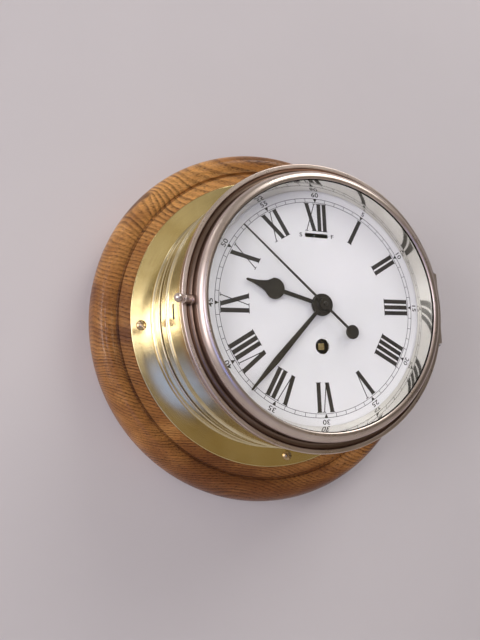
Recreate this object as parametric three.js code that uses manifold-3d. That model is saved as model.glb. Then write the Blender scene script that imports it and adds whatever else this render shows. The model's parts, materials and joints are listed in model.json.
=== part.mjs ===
// A brass ship's clock on a turned oak plinth, with a hinged glazed bezel and an eight-day movement.
// Lengths are millimetres. Z is up, the clock faces -Y, and the wall touches the plinth at Y = 0.
// "Forward" is the distance out from the wall, so a forward station f lies at Y = -f.
import * as THREE from "three";
import { mergeVertices } from "three/addons/utils/BufferGeometryUtils.js";
import Module from "manifold-3d";

const wasm = await Module();
wasm.setup();

// Fineness of the round forms, in steps around a circle
const caseSteps = 32;
const plateSteps = 24;
const boreSteps = 12;
const screwSteps = 8;
const pipeSteps = 8;
const arborSteps = 6;
const nutSides = 6;
const outlineSteps = 4;

// Shared clearances
const seatGap = 0.3;
const runningGap = 0.35;
const cutOverrun = 1;

// Oak plinth
const plinthFlatDepth = 30;
const plinthBellyDepth = 17.5;
const plinthCrownMargin = 7.6;
const plinthCrownRise = 4.2;
const plinthBellyReach = 10.5;
const plinthUndersideInset = 1.1;
const plinthUndersideDepth = 6;
const plinthBackInset = 4.5;
const shoulderRiseShare = 0.35;
const crownRiseShare = 0.85;
const grooveMargin = 8.7;
const grooveWidth = 1.8;
const grooveDepth = 1.4;
const bellyShares = [0.3, 0.6, 0.83];

// Hanger plate let into the back of the plinth
const hangerHeightUp = 96;
const hangerWidth = 46;
const hangerTall = 26;
const hangerThickness = 1.6;
const hangerCorner = 5;
const hangerPocketDepth = 9;
const hangerPocketRadius = 8.5;
const keyholeRadius = 4.9;
const keyholeSlotRadius = 2.3;
const keyholeSlotRise = 8;
const hangerScrewSpacing = 34;
const hangerScrewHeadRadius = 2.9;
const hangerScrewHeadThickness = 1.2;
const hangerScrewShankRadius = 1.3;
const hangerScrewLength = 12;

// Base flange with its closed back, and the collar that stands on it
const flangeWidth = 15.6;
const flangeThickness = 3;
const flangeEdgeRound = 0.8;
const collarBeadProud = 1.5;
const collarBeadHeight = 2.6;
const collarWall = 3.3;
const collarHeight = 18.2;
const collarChamfer = 0.9;
const backPlateThickness = 2;

// Wood screws through the flange
const flangeScrewCount = 4;
const flangeScrewInset = 7.5;
const flangeScrewFirstAngle = -3;
const flangeScrewHeadRadius = 3.7;
const flangeScrewHeadHeight = 2;
const flangeScrewDomeAngles = [35, 68];
const flangeScrewSlotTurn = 48;
const flangeScrewSlotWidth = 1;
const flangeScrewSlotDepth = 1.1;
const flangeScrewShankRadius = 2.1;
const flangeScrewTipRoom = 2;

// Drum
const drumWall = 3.7;
const drumRingProud = 1;
const drumRingLength = 18.6;
const drumFrontFlat = 6.5;
const drumMouthInset = 1.5;
const drumSpigotInset = 1.2;
const drumSpigotLength = 8;
const drumLength = 51.5;
const drumChamfer = 0.7;
const dialLedgeMargin = 5.5;
const dialLedgeThickness = 2.2;

// Slot in the drum's left side for the toe of the catch spring
const catchSlotLength = 9.6;
const catchSlotWidth = 1.7;
const catchSlotBack = 15.6;
const catchSlotDrop = 3.6;
const catchBladeThickness = 1;
const catchBladeWidth = 7.5;
const catchBladeLength = 26;
const catchToeDepth = 2.4;
const catchSlotReach = 2.6;

// Dial
const dialRadius = 88.4;
const dialClearance = 0.6;
const dialThickness = 1;
const dialCentreHole = 4.5;
const windingHoleDrop = 26.5;
const windingHoleRadius = 5;
const slowFastRise = 46.3;
const slowFastLength = 17.6;
const slowFastWidth = 2.9;
const dialFootRadius = 1.6;
const dialFootCircle = 46;
const dialFootAngles = [90, 200, 340];

// Bezel ring
const bezelGap = 0.6;
const bezelRimProud = 0.1;
const bezelRimThickness = 6;
const bezelRimLand = 2.3;
const bezelRimRound = 1.6;
const bezelCoveWidth = 1.75;
const bezelCoveDepth = 1.5;
const bezelBeadInset = 5.6;
const bezelBeadHalfWidth = 3.1;
const bezelBeadHalfHeight = 4.6;
const bezelBeadAngles = [0, 40, 75, 105];
const bezelLipDrop = 0.5;
const bezelLipThickness = 0.6;
const bezelRearFlare = 2.9;

// Glass and the bright sight ring that holds it
const glassRebate = 2.6;
const glassEdgeClearance = 0.4;
const glassClearance = 4.5;
const glassThickness = 1.9;
const sightRingReach = 5.5;
const sightRingLap = 0.4;
const sightRingWall = 0.9;
const sightRingRearGap = 0.6;

// Hinge on the right side
const hingeAxisBack = 2.6;
const hingeKnuckleRadius = 2.1;
const hingeLength = 50;
const hingeKnuckleCount = 5;
const hingeKnuckleGap = 0.4;
const hingePinRadius = 0.9;
const hingePinHeadRadius = 1.8;
const hingePinHeadHeight = 1.4;
const hingePinClearance = 0.3;
const hingeLeafThickness = 1.2;
const hingeWebLength = 1.4;
const hingeLeafHalfWidth = 25;
const caseLeafLength = 15;
const bezelLeafLength = 2.6;

// Pull knob at nine o'clock
const knobTilt = 31;
const knobFootInset = 1.4;
const knobFootRise = 6.7;
const knobBarrelRadius = 2.8;
const knobBarrelLength = 7.8;
const knobChamfer = 0.6;
const knobNeckRadius = 1.6;
const knobNeckLength = 0.9;
const knobBallRadius = 2.8;
const knobBallAngles = [-30, 10, 50];
const knobShankRadius = 1.5;
const knobShankLength = 1.6;

// Hands
const handThickness = 0.8;
const handLayer = 1.7;
const handStart = 1.4;
const hourHandLength = 53.3;
const hourHandAngle = 286.3;
const hourHandBoss = 7.25;
const hourHandArmHalf = 1.25;
const hourHandBulbCentre = 34;
const hourHandBulbRadius = 6.7;
const hourHandBulbAngles = [-60, -30, 0, 30];
const hourHandNeckHalf = 2.8;
const hourHandNeckRise = 8;
const hourHandTaperHalf = 1.4;
const hourHandTaperRise = 13;
const hourHandTipHalf = 0.7;
const minuteHandMargin = 3.4;
const minuteHandAngle = 224.2;
const minuteHandBoss = 6.9;
const minuteHandRootHalf = 1.1;
const minuteHandWideHalf = 2;
const minuteHandWideAt = 49;
const minuteHandTipHalf = 0.55;
const secondsHandMargin = 4.7;
const secondsHandAngle = 312.3;
const secondsHandTail = 26.4;
const secondsHandDisc = 4.6;
const secondsHandRootHalf = 0.85;
const secondsHandTipHalf = 0.4;
const secondsBossRadius = 3.5;
const collarNutRadius = 4.6;
const collarNutThickness = 0.7;
const secondsTipRadius = 1.35;
const secondsTipLength = 2;

// Movement plates, pillars and posts
const frontPlateRadius = 64;
const backPlateRadius = 52;
const dialRoom = 2.3;
const plateThickness = 2;
const plateEndRoom = 1.5;
const pillarRadius = 3;
const pillarWaistRadius = 2.2;
const pillarCollarLength = 6.5;
const pillarTaper = 2.5;
const pillarSpigotRadius = 1.6;
const pillarSpread = 33;
const pillarNutRadius = 3.4;
const pillarNutHeight = 2;
const postInset = 4.5;
const postAngles = [30, 150, 270];
const postRadius = 3.6;
const postSpigotRadius = 1.8;

// Wheel work
const wheelAddendumShare = 0.85;
const wheelDedendumShare = 1.65;
const leafAddendumShare = 0.9;
const leafDedendumShare = 1.3;
const leafRootShare = 0.25;
const leafTipShare = 0.11;
const rimWidthShare = 1.6;
const wheelCrossings = 4;
const windowShares = [-1, 0, 1];
const spokeHalfWidth = 0.8;
const arborRadius = 0.9;
const pivotRadius = 0.6;
const trainReach = 18;
const wheelThickness = 1.3;
const pinionRun = 2.6;
const thirdArborAngle = 150;
const escapeArborAngle = 38.7;
const barrelTeeth = 48;
const barrelPinionTeeth = 8;
const barrelReach = 25.2;
const intermediateTeeth = 32;
const centrePinionTeeth = 8;
const centreTeeth = 48;
const thirdPinionTeeth = 6;
const thirdTeeth = 45;
const fourthPinionTeeth = 6;
const fourthTeeth = 60;
const escapePinionTeeth = 6;
const motionReach = 13;
const cannonTeeth = 10;
const minuteTeeth = 30;
const minutePinionTeeth = 8;
const hourTeeth = 32;
const minuteArborAngle = 200;

// The lowest wheel's station forward of the back plate, and the room below each higher one
const fourthWheelStation = 1.6;
const thirdWheelRoom = 2.3;
const barrelRoom = 1.5;
const intermediateWheelRoom = 1.4;
const centreWheelRoom = 1.9;

// Barrel and winding work
const barrelRadius = 19.6;
const barrelWall = 1.4;
const barrelHeight = 16.6;
const barrelCoverThickness = 1;
const greatWheelThickness = 1.9;
const barrelBoreRadius = 3.7;
const springTurns = 4;
const springThickness = 0.5;
const springInnerRadius = 6;
const springStepsPerTurn = 8;
const windingArborRadius = 3;
const windingSquareHalf = 2.1;
const windingSquareLength = 9.5;
const windingTipDrop = 1.8;
const ratchetTeeth = 24;
const ratchetRadius = 9;
const ratchetRootRadius = 7.6;
const ratchetThickness = 1.8;
const ratchetUndercutShare = 0.02;
const clickReach = 14;
const clickPivotAngle = 60;
const clickFaceAngle = 15;
const clickThickness = 1.5;
const clickBossRadius = 2.2;
const clickPivotRadius = 1;
const clickBeakGap = 0.5;
const clickBeakDepth = 1.7;
const clickBeakShare = 0.16;

// Hollow arbors at the centre
const secondsArborRadius = 0.65;
const centreBoreRadius = 1;
const centreArborRadius = 1.5;
const cannonBoreRadius = 1.85;
const cannonPipeRadius = 2.6;
const hourBoreRadius = 2.95;
const hourPipeRadius = 3.7;
const minuteStudRadius = 0.9;
const minuteBoreRadius = 1.3;

// Escapement platform on the front plate
const balanceRise = 26;
const balanceRadius = 8;
const balanceRimWidth = 1.1;
const balanceStation = 6.2;
const balanceArmHalf = 0.7;
const escapeTeeth = 15;
const escapeRadius = 5;
const escapeRootRadius = 3.7;
const escapeTipShare = 0.16;
const escapeHeelShare = 0.6;
const escapeStation = 3.2;
const escapeThickness = 0.7;
const leverReach = 7.6;
const leverForkReach = 11.2;
const leverArmHalf = 0.5;
const palletReach = 4.4;
const palletHalf = 0.55;
const palletDrop = 2.6;
const platformThickness = 1.5;
const platformMargin = 2.6;
const cockStation = 9.3;
const cockThickness = 1.2;
const cockHalfWidth = 2.4;
const cockFootLeft = 9.4;
const cockFootRise = 5.4;
const indexThickness = 0.7;
const indexHubRadius = 2.2;
const indexArmHalf = 0.6;
const indexTailHalf = 1;
const indexTailLength = 3.5;
const indexPinRadius = 0.55;
const indexRestAngle = -5.4;
const hairspringTurns = 3;
const hairspringThickness = 0.25;
const hairspringInnerRadius = 1.6;
const hairspringPitch = 0.9;
const hairspringHeight = 0.5;

// Radii worked out from the dial outwards
const drumBoreRadius = dialRadius + dialClearance;
const drumRadius = drumBoreRadius + drumWall;
const drumRingRadius = drumRadius + drumRingProud;
const drumMouthRadius = drumRadius - drumMouthInset;
const drumSpigotRadius = drumRadius - drumSpigotInset;
const collarBoreRadius = drumSpigotRadius + seatGap;
const collarRadius = collarBoreRadius + collarWall;
const collarBeadRadius = collarRadius + collarBeadProud;
const flangeRadius = collarRadius + flangeWidth;
const flangeScrewCircle = flangeRadius - flangeScrewInset;
const flangeScrewLength = plinthFlatDepth - hangerPocketDepth - flangeScrewTipRoom;
const grooveRadius = flangeRadius + grooveMargin;
const plinthCrownRadius = grooveRadius + plinthCrownMargin;
const plinthRadius = plinthCrownRadius + plinthBellyReach;
const plinthUndersideRadius = plinthRadius - plinthUndersideInset;
const plinthBackRadius = plinthRadius - plinthBackInset;
const bezelRimRadius = drumRadius + bezelRimProud;
const bezelCoveOuter = bezelRimRadius - bezelRimLand - bezelCoveDepth / 2;
const bezelCoveInner = bezelCoveOuter - bezelCoveWidth;
const bezelBeadRadius = bezelCoveInner - bezelBeadInset;
const bezelOpening = bezelBeadRadius - bezelBeadHalfWidth;
const glassRadius = bezelOpening + glassRebate;
const bezelBoreRadius = glassRadius + glassEdgeClearance;
const bezelRearBoreRadius = bezelBoreRadius + bezelRearFlare;
const sightRingDialRadius = glassRadius - sightRingReach;
const minuteHandLength = sightRingDialRadius - minuteHandMargin;
const secondsHandLength = sightRingDialRadius - secondsHandMargin;
const knobFootRadius = bezelCoveInner - knobFootInset;
const hingeAxisRight = bezelRimRadius + hingeKnuckleRadius + 2 * seatGap;
const hingeBoreRadius = hingePinRadius + hingePinClearance;
const postCircle = frontPlateRadius - postInset;
const dialLedgeBore = postCircle - dialLedgeMargin;

// Stations forward of the back plate, and the room that the movement needs
const thirdWheelStation = fourthWheelStation + wheelThickness + thirdWheelRoom;
const barrelStation = thirdWheelStation + wheelThickness + barrelRoom;
const intermediateWheelStation = barrelStation + barrelHeight + intermediateWheelRoom;
const centreWheelStation = intermediateWheelStation + wheelThickness + centreWheelRoom;
const pillarLength = centreWheelStation + wheelThickness + plateEndRoom;
const moduleRoom = cockStation + cockThickness + seatGap + indexThickness + dialRoom;

// Stations forward from the wall, worked out from the sizes above
const flangeFront = plinthFlatDepth + flangeThickness;
const collarFront = flangeFront + collarHeight;
const drumFront = collarFront + drumLength;
const dialFront = drumFront + seatGap;
const dialBack = dialFront - dialThickness;
const bezelRear = drumFront + bezelGap;
const hourHandStation = dialFront + handStart;
const minuteHandStation = hourHandStation + handLayer;
const secondsHandStation = minuteHandStation + handLayer;
const collarNutStation = minuteHandStation + handThickness;
const glassBack = secondsHandStation + handThickness + secondsTipLength + glassClearance;
const glassFront = glassBack + glassThickness;
const bezelFront = glassFront + bezelLipThickness + bezelLipDrop;
const frontPlateFront = dialBack - moduleRoom;
const frontPlateBack = frontPlateFront - plateThickness;
const backPlateFront = frontPlateBack - pillarLength;
const backPlateBack = backPlateFront - plateThickness;
const hingeAxisForward = dialFront - hingeAxisBack;

const fullTurn = 2 * Math.PI;
const radians = THREE.MathUtils.degToRad;
const mergeReach = 1e-4;

// Solids

// The closed surface of a three.js geometry as a solid, faces out.
function solidOf(geometry) {
  const loose = geometry.index ? geometry.toNonIndexed() : geometry;
  const bare = new THREE.BufferGeometry();
  bare.setAttribute("position", loose.getAttribute("position"));
  const merged = mergeVertices(bare, mergeReach);
  const places = merged.getAttribute("position").array;
  const corners = [];
  let sixVolumes = 0;
  const a = new THREE.Vector3();
  const b = new THREE.Vector3();
  const c = new THREE.Vector3();
  for (let i = 0; i < merged.index.count; i += 3) {
    const [p, q, r] = [0, 1, 2].map((k) => merged.index.getX(i + k));
    if (p === q || q === r || r === p) continue;
    corners.push(p, q, r);
    a.fromArray(places, 3 * p);
    b.fromArray(places, 3 * q);
    c.fromArray(places, 3 * r);
    sixVolumes += a.dot(b.cross(c));
  }
  if (sixVolumes < 0) corners.reverse();
  const surface = new wasm.Mesh({
    numProp: 3,
    vertProperties: places,
    triVerts: Uint32Array.from(corners),
  });
  return new wasm.Manifold(surface);
}

function geometryOf(solid) {
  const { vertProperties, triVerts, numProp } = solid.getMesh();
  const places = new Float32Array((vertProperties.length / numProp) * 3);
  for (let i = 0; i < places.length / 3; i++) {
    places.set(vertProperties.subarray(i * numProp, i * numProp + 3), i * 3);
  }
  const indexed = new THREE.BufferGeometry();
  indexed.setAttribute("position", new THREE.BufferAttribute(places, 3));
  indexed.setIndex(new THREE.BufferAttribute(triVerts, 1));
  const flat = indexed.toNonIndexed();
  flat.computeVertexNormals();
  return flat;
}

const joined = (first, ...rest) => rest.reduce((sum, next) => sum.add(next), first);
const cutBy = (first, ...rest) => rest.reduce((left, next) => left.subtract(next), first);

// A body of revolution about the clock's axis from [radius, forward] points, moved to x, z.
function turned(profile, steps = caseSteps, x = 0, z = 0) {
  const points = profile.map(([radius, forward]) => new THREE.Vector2(radius, forward));
  const lathe = new THREE.LatheGeometry(points, steps);
  lathe.rotateX(Math.PI);
  lathe.translate(x, 0, z);
  return solidOf(lathe);
}

// A ring or a tube: the profile closes on itself.
const turnedRing = (profile, steps) => turned([...profile, profile[0]], steps);

// A round bar along the clock's axis.
function rod(radius, from, to, steps = arborSteps, x = 0, z = 0) {
  return turned([[0, from], [radius, from], [radius, to], [0, to]], steps, x, z);
}

function tube(outer, bore, from, to, steps = boreSteps) {
  return turnedRing([[bore, from], [outer, from], [outer, to], [bore, to]], steps);
}

// A flat outline, seen from the front with x to the right and y up, between two stations.
function slab(shape, from, to) {
  const options = { depth: to - from, bevelEnabled: false, curveSegments: outlineSteps };
  const blank = new THREE.ExtrudeGeometry(shape, options);
  blank.translate(0, 0, from);
  blank.rotateX(Math.PI / 2);
  return solidOf(blank);
}

function box(xLow, xHigh, from, to, zLow, zHigh) {
  const blank = new THREE.BoxGeometry(xHigh - xLow, to - from, zHigh - zLow);
  blank.translate((xLow + xHigh) / 2, -(from + to) / 2, (zLow + zHigh) / 2);
  return solidOf(blank);
}

const shapeOf = (points) => new THREE.Shape(points.map(([x, y]) => new THREE.Vector2(x, y)));

// A point at a distance and an angle, anticlockwise from three o'clock.
const polar = (reach, angle) => [reach * Math.cos(angle), reach * Math.sin(angle)];

// A point at a distance and a clock angle, clockwise from twelve.
const onClock = (reach, degrees) => polar(reach, Math.PI / 2 - radians(degrees));

// Materials

function metal(color, roughness, metalness = 1) {
  return new THREE.MeshStandardMaterial({ color, roughness, metalness });
}

const oak = () => metal(0xb4733c, 0.4, 0);
const yellowBrass = () => metal(0xcdb468, 0.22);
const paleBrass = () => metal(0xc9ac94, 0.2);
const plateBrass = () => metal(0xc2a252, 0.42);
const silvered = () => metal(0xc8c0aa, 0.12);
const steel = () => metal(0x8d8f92, 0.35);
const darkBrass = () => metal(0x8c7a62, 0.35);
const handBlack = () => metal(0x2c2822, 0.45, 0.3);
const dialWhite = () => metal(0xe6e2dc, 0.35, 0);
const glassClear = () => {
  const clear = metal(0xeef4f4, 0.05, 0);
  clear.transparent = true;
  clear.opacity = 0.2;
  return clear;
};

// The scene graph

const clock = new THREE.Group();
const caseGroup = new THREE.Group();
const bezelGroup = new THREE.Group();
const movementGroup = new THREE.Group();
const handsGroup = new THREE.Group();
clock.add(caseGroup, bezelGroup, movementGroup, handsGroup);

// Adds a piece whose solid is drawn about its own axis; it goes to x, z and turns clockwise.
function place(group, name, solid, material, x = 0, z = 0, clockwiseDegrees = 0) {
  const mesh = new THREE.Mesh(geometryOf(solid), material);
  mesh.name = name;
  mesh.position.set(x, 0, z);
  mesh.rotation.y = radians(clockwiseDegrees);
  group.add(mesh);
  return mesh;
}

// Plinth and hanger

function flangeScrewPlaces() {
  const step = 360 / flangeScrewCount;
  return Array.from({ length: flangeScrewCount }, (_, i) => {
    return onClock(flangeScrewCircle, flangeScrewFirstAngle + i * step);
  });
}

function hangerScrewPlaces() {
  return [-1, 1].map((side) => [(side * hangerScrewSpacing) / 2, hangerHeightUp]);
}

function oakPlinth() {
  const crownForward = plinthFlatDepth + plinthCrownRise;
  const grooveOut = grooveRadius + grooveWidth / 2;
  const grooveIn = grooveRadius - grooveWidth / 2;
  const shoulder = [grooveOut, plinthFlatDepth + plinthCrownRise * shoulderRiseShare];
  const rise = [(grooveOut + plinthCrownRadius) / 2, plinthFlatDepth + plinthCrownRise * crownRiseShare];
  const bulge = bellyShares.map((share) => {
    const angle = (share * Math.PI) / 2;
    return [
      plinthCrownRadius + (plinthRadius - plinthCrownRadius) * Math.sin(angle),
      plinthBellyDepth + (crownForward - plinthBellyDepth) * Math.cos(angle),
    ];
  });
  const underside = [
    [plinthRadius, plinthBellyDepth],
    [plinthUndersideRadius, plinthUndersideDepth],
    [plinthBackRadius, 0],
    [0, 0],
  ];
  const face = [
    [0, plinthFlatDepth],
    [grooveIn, plinthFlatDepth],
    [grooveRadius, plinthFlatDepth - grooveDepth],
    shoulder,
    rise,
    [plinthCrownRadius, crownForward],
  ];
  const blank = turned([...face, ...bulge, ...underside]);
  const pilots = flangeScrewPlaces().map(([x, z]) => {
    const pilotEnd = plinthFlatDepth - flangeScrewLength - seatGap;
    return rod(flangeScrewShankRadius + seatGap, pilotEnd, plinthFlatDepth + cutOverrun, screwSteps, x, z);
  });
  const recess = hangerOutline(seatGap);
  const bed = slab(recess, -cutOverrun, hangerThickness);
  const pocket = slab(keyholeOutline(hangerPocketRadius, hangerPocketRadius), -cutOverrun, hangerPocketDepth);
  const hangerPilots = hangerScrewPlaces().map(([x, z]) => {
    return rod(hangerScrewShankRadius + seatGap, -cutOverrun, hangerScrewLength + seatGap, screwSteps, x, z);
  });
  return cutBy(blank, ...pilots, bed, pocket, ...hangerPilots);
}

// The hanger's rounded outline, grown all round by a margin.
function hangerOutline(margin) {
  const half = hangerWidth / 2 + margin;
  const tall = hangerTall / 2 + margin;
  const centre = hangerHeightUp;
  const corner = hangerCorner + margin;
  const outline = new THREE.Shape();
  outline.moveTo(-half + corner, centre - tall);
  outline.lineTo(half - corner, centre - tall);
  outline.absarc(half - corner, centre - tall + corner, corner, -Math.PI / 2, 0);
  outline.lineTo(half, centre + tall - corner);
  outline.absarc(half - corner, centre + tall - corner, corner, 0, Math.PI / 2);
  outline.lineTo(-half + corner, centre + tall);
  outline.absarc(-half + corner, centre + tall - corner, corner, Math.PI / 2, Math.PI);
  outline.lineTo(-half, centre - tall + corner);
  outline.absarc(-half + corner, centre - tall + corner, corner, Math.PI, 1.5 * Math.PI);
  return outline;
}

// A keyhole: a round entry below a narrower slot that rises from it.
function keyholeOutline(entryRadius, slotRadius) {
  const low = hangerHeightUp - keyholeSlotRise / 2;
  const high = low + keyholeSlotRise;
  const meet = Math.acos(Math.min(slotRadius / entryRadius, 1));
  const outline = new THREE.Shape();
  outline.absarc(0, low, entryRadius, Math.PI - meet, meet + fullTurn);
  outline.absarc(0, high, slotRadius, 0, Math.PI);
  return outline;
}

function hangerPlate() {
  const plate = slab(hangerOutline(0), 0, hangerThickness);
  const opening = keyholeOutline(keyholeRadius, keyholeSlotRadius);
  const keyhole = slab(opening, -cutOverrun, hangerThickness + cutOverrun);
  const holes = hangerScrewPlaces().map(([x, z]) => {
    const radius = hangerScrewShankRadius + seatGap;
    return rod(radius, -cutOverrun, hangerThickness + cutOverrun, screwSteps, x, z);
  });
  const sinks = hangerScrewPlaces().map(([x, z]) => {
    const radius = hangerScrewHeadRadius + seatGap;
    return rod(radius, -cutOverrun, hangerScrewHeadThickness, screwSteps, x, z);
  });
  return cutBy(plate, keyhole, ...holes, ...sinks);
}

function hangerScrew() {
  const profile = [
    [0, 0],
    [hangerScrewHeadRadius, 0],
    [hangerScrewShankRadius, hangerScrewHeadThickness],
    [hangerScrewShankRadius, hangerScrewLength - hangerScrewShankRadius],
    [0, hangerScrewLength],
  ];
  return turned(profile, screwSteps);
}

// Flange, drum and catch

function baseFlange() {
  const edge = flangeFront - flangeEdgeRound;
  const profile = [
    [0, plinthFlatDepth],
    [flangeRadius, plinthFlatDepth],
    [flangeRadius, edge],
    [flangeRadius - flangeEdgeRound, flangeFront],
    [collarBoreRadius, flangeFront],
    [collarBoreRadius, plinthFlatDepth + backPlateThickness],
    [0, plinthFlatDepth + backPlateThickness],
  ];
  const holes = flangeScrewPlaces().map(([x, z]) => {
    const from = plinthFlatDepth - cutOverrun;
    return rod(flangeScrewShankRadius + seatGap, from, flangeFront + cutOverrun, screwSteps, x, z);
  });
  return cutBy(turned(profile), ...holes);
}

// The collar stands on the flange and takes the drum's spigot; a bead runs round its foot.
function baseCollar() {
  const foot = flangeFront + seatGap;
  const shoulder = flangeFront + collarBeadHeight;
  return turnedRing([
    [collarBoreRadius, foot],
    [collarBeadRadius, foot],
    [collarBeadRadius, shoulder],
    [collarRadius, shoulder + flangeEdgeRound],
    [collarRadius, collarFront - collarChamfer],
    [collarRadius - collarChamfer, collarFront],
    [collarBoreRadius, collarFront],
  ]);
}

function flangeScrew() {
  const headTop = flangeFront + flangeScrewHeadHeight;
  const dome = flangeScrewDomeAngles.map((degrees) => {
    const [out, up] = polar(1, radians(degrees));
    return [flangeScrewHeadRadius * out, flangeFront + flangeScrewHeadHeight * up];
  });
  const profile = [
    [0, plinthFlatDepth - flangeScrewLength],
    [flangeScrewShankRadius, plinthFlatDepth - flangeScrewLength + flangeScrewShankRadius],
    [flangeScrewShankRadius, flangeFront],
    [flangeScrewHeadRadius, flangeFront],
    ...dome,
    [0, headTop],
  ];
  const reach = flangeScrewHeadRadius + cutOverrun;
  const half = flangeScrewSlotWidth / 2;
  const slot = box(-reach, reach, headTop - flangeScrewSlotDepth, headTop + cutOverrun, -half, half);
  return cutBy(turned(profile, screwSteps), slot);
}

// The slot and the toe that fills it lie just below nine o'clock.
function catchBox(margin, xLow, xHigh) {
  const forward = dialFront - catchSlotBack;
  const halfWidth = catchSlotWidth / 2 + margin;
  const halfLength = catchSlotLength / 2 + margin;
  const middle = -catchSlotDrop;
  return box(xLow, xHigh, forward - halfWidth, forward + halfWidth, middle - halfLength, middle + halfLength);
}

function drum() {
  const ringFront = collarFront + drumRingLength;
  const mouthBack = drumFront - drumFrontFlat;
  const spigotBack = collarFront - drumSpigotLength;
  const ledgeBack = dialBack - dialLedgeThickness;
  const profile = [
    [drumBoreRadius, spigotBack],
    [drumSpigotRadius, spigotBack],
    [drumSpigotRadius, collarFront],
    [drumRingRadius - drumChamfer, collarFront],
    [drumRingRadius, collarFront + drumChamfer],
    [drumRingRadius, ringFront - drumChamfer],
    [drumRadius, ringFront],
    [drumRadius, mouthBack],
    [drumMouthRadius, mouthBack + drumChamfer],
    [drumMouthRadius, drumFront],
    [drumBoreRadius, drumFront],
    [drumBoreRadius, dialBack],
    [dialLedgeBore, dialBack],
    [dialLedgeBore, ledgeBack],
    [drumBoreRadius, ledgeBack],
  ];
  const slot = catchBox(0, -drumRingRadius - cutOverrun, -drumBoreRadius + catchSlotReach);
  const ends = [ledgeBack - cutOverrun, dialBack + cutOverrun];
  const hole = (radius, [x, z]) => rod(radius, ...ends, arborSteps, x, z);
  const postHoles = postPlaces().map((place) => hole(postSpigotRadius + seatGap, place));
  const footHoles = dialFootPlaces().map((place) => hole(dialFootRadius + seatGap, place));
  return cutBy(turnedRing(profile), slot, ...postHoles, ...footHoles);
}

function catchSpring() {
  const forward = dialFront - catchSlotBack;
  const bladeOut = -Math.sqrt(drumBoreRadius ** 2 - (catchBladeWidth / 2 + catchSlotDrop) ** 2) + seatGap * 2;
  const bladeFrom = forward - catchBladeLength;
  const bladeTo = forward + catchSlotWidth / 2 - seatGap;
  const low = -catchSlotDrop - catchBladeWidth / 2;
  const high = -catchSlotDrop + catchBladeWidth / 2;
  const blade = box(bladeOut, bladeOut + catchBladeThickness, bladeFrom, bladeTo, low, high);
  const toe = catchBox(-seatGap, bladeOut - catchToeDepth, bladeOut + catchBladeThickness / 2);
  return joined(blade, toe);
}

// Dial

function slotOutline(rise, length, width) {
  const half = length / 2 - width / 2;
  const outline = new THREE.Shape();
  outline.absarc(half, rise, width / 2, -Math.PI / 2, Math.PI / 2);
  outline.absarc(-half, rise, width / 2, Math.PI / 2, 1.5 * Math.PI);
  return outline;
}

function dialFootPlaces() {
  return dialFootAngles.map((angle) => onClock(dialFootCircle, angle));
}

function dial() {
  const plate = turned([[0, dialBack], [dialRadius, dialBack], [dialRadius, dialFront], [0, dialFront]]);
  const through = [dialBack - cutOverrun, dialFront + cutOverrun];
  const centreHole = rod(dialCentreHole, ...through, boreSteps);
  const windingHole = rod(windingHoleRadius, ...through, boreSteps, 0, -windingHoleDrop);
  const slowFastSlot = slab(slotOutline(slowFastRise, slowFastLength, slowFastWidth), ...through);
  const pierced = cutBy(plate, centreHole, windingHole, slowFastSlot);
  const feet = dialFootPlaces().map(([x, z]) => {
    return rod(dialFootRadius, frontPlateBack, dialBack + dialThickness / 2, arborSteps, x, z);
  });
  return joined(pierced, ...feet);
}

// Bezel, glass and sight ring

function bezelProfile() {
  const rimFront = dialFront + bezelRimThickness;
  const coveBottom = rimFront - bezelCoveDepth;
  const beadCentre = bezelFront - bezelBeadHalfHeight;
  const bead = bezelBeadAngles.map((degrees) => {
    const [out, forward] = polar(1, radians(degrees));
    return [bezelBeadRadius + bezelBeadHalfWidth * out, beadCentre + bezelBeadHalfHeight * forward];
  });
  return [
    [bezelRearBoreRadius, bezelRear],
    [bezelRimRadius, bezelRear],
    [bezelRimRadius, rimFront - bezelRimRound],
    [bezelRimRadius - bezelRimRound / 2, rimFront - bezelRimRound / 4],
    [bezelRimRadius - bezelRimLand, rimFront],
    [bezelCoveOuter, coveBottom],
    [bezelCoveInner, coveBottom],
    ...bead,
    [bezelOpening, bezelFront - bezelLipDrop],
    [bezelOpening, glassFront],
    [bezelBoreRadius, glassFront],
    [bezelBoreRadius, glassBack - bezelGap],
  ];
}

function bezelRing() {
  const ring = turnedRing(bezelProfile());
  return cutBy(ring, knobSocket());
}

function glass() {
  return turned([[0, glassBack], [glassRadius, glassBack], [glassRadius, glassFront], [0, glassFront]]);
}

// A spun ring of C section: a cone between two flanges, which bears on the glass and keeps it in.
function sightRing() {
  const rear = dialFront + sightRingRearGap;
  const mouth = bezelOpening - sightRingLap;
  const wall = sightRingWall;
  return turnedRing([
    [sightRingDialRadius, rear],
    [glassRadius, rear],
    [glassRadius, rear + wall],
    [sightRingDialRadius + 2 * wall, rear + wall],
    [mouth + wall, glassBack - wall],
    [glassRadius, glassBack - wall],
    [glassRadius, glassBack],
    [mouth, glassBack],
    [sightRingDialRadius, rear + wall],
  ]);
}

// Turned knob drawn along +Y from its seat, then tipped outwards and forwards at nine o'clock.
function setKnob(lathe) {
  lathe.rotateZ(Math.PI / 2 + radians(knobTilt));
  lathe.translate(-knobFootRadius, -(dialFront + knobFootRise), 0);
  return solidOf(lathe);
}

function knobLathe(profile, steps) {
  const points = profile.map(([radius, out]) => new THREE.Vector2(radius, out));
  return setKnob(new THREE.LatheGeometry(points, steps));
}

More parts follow.
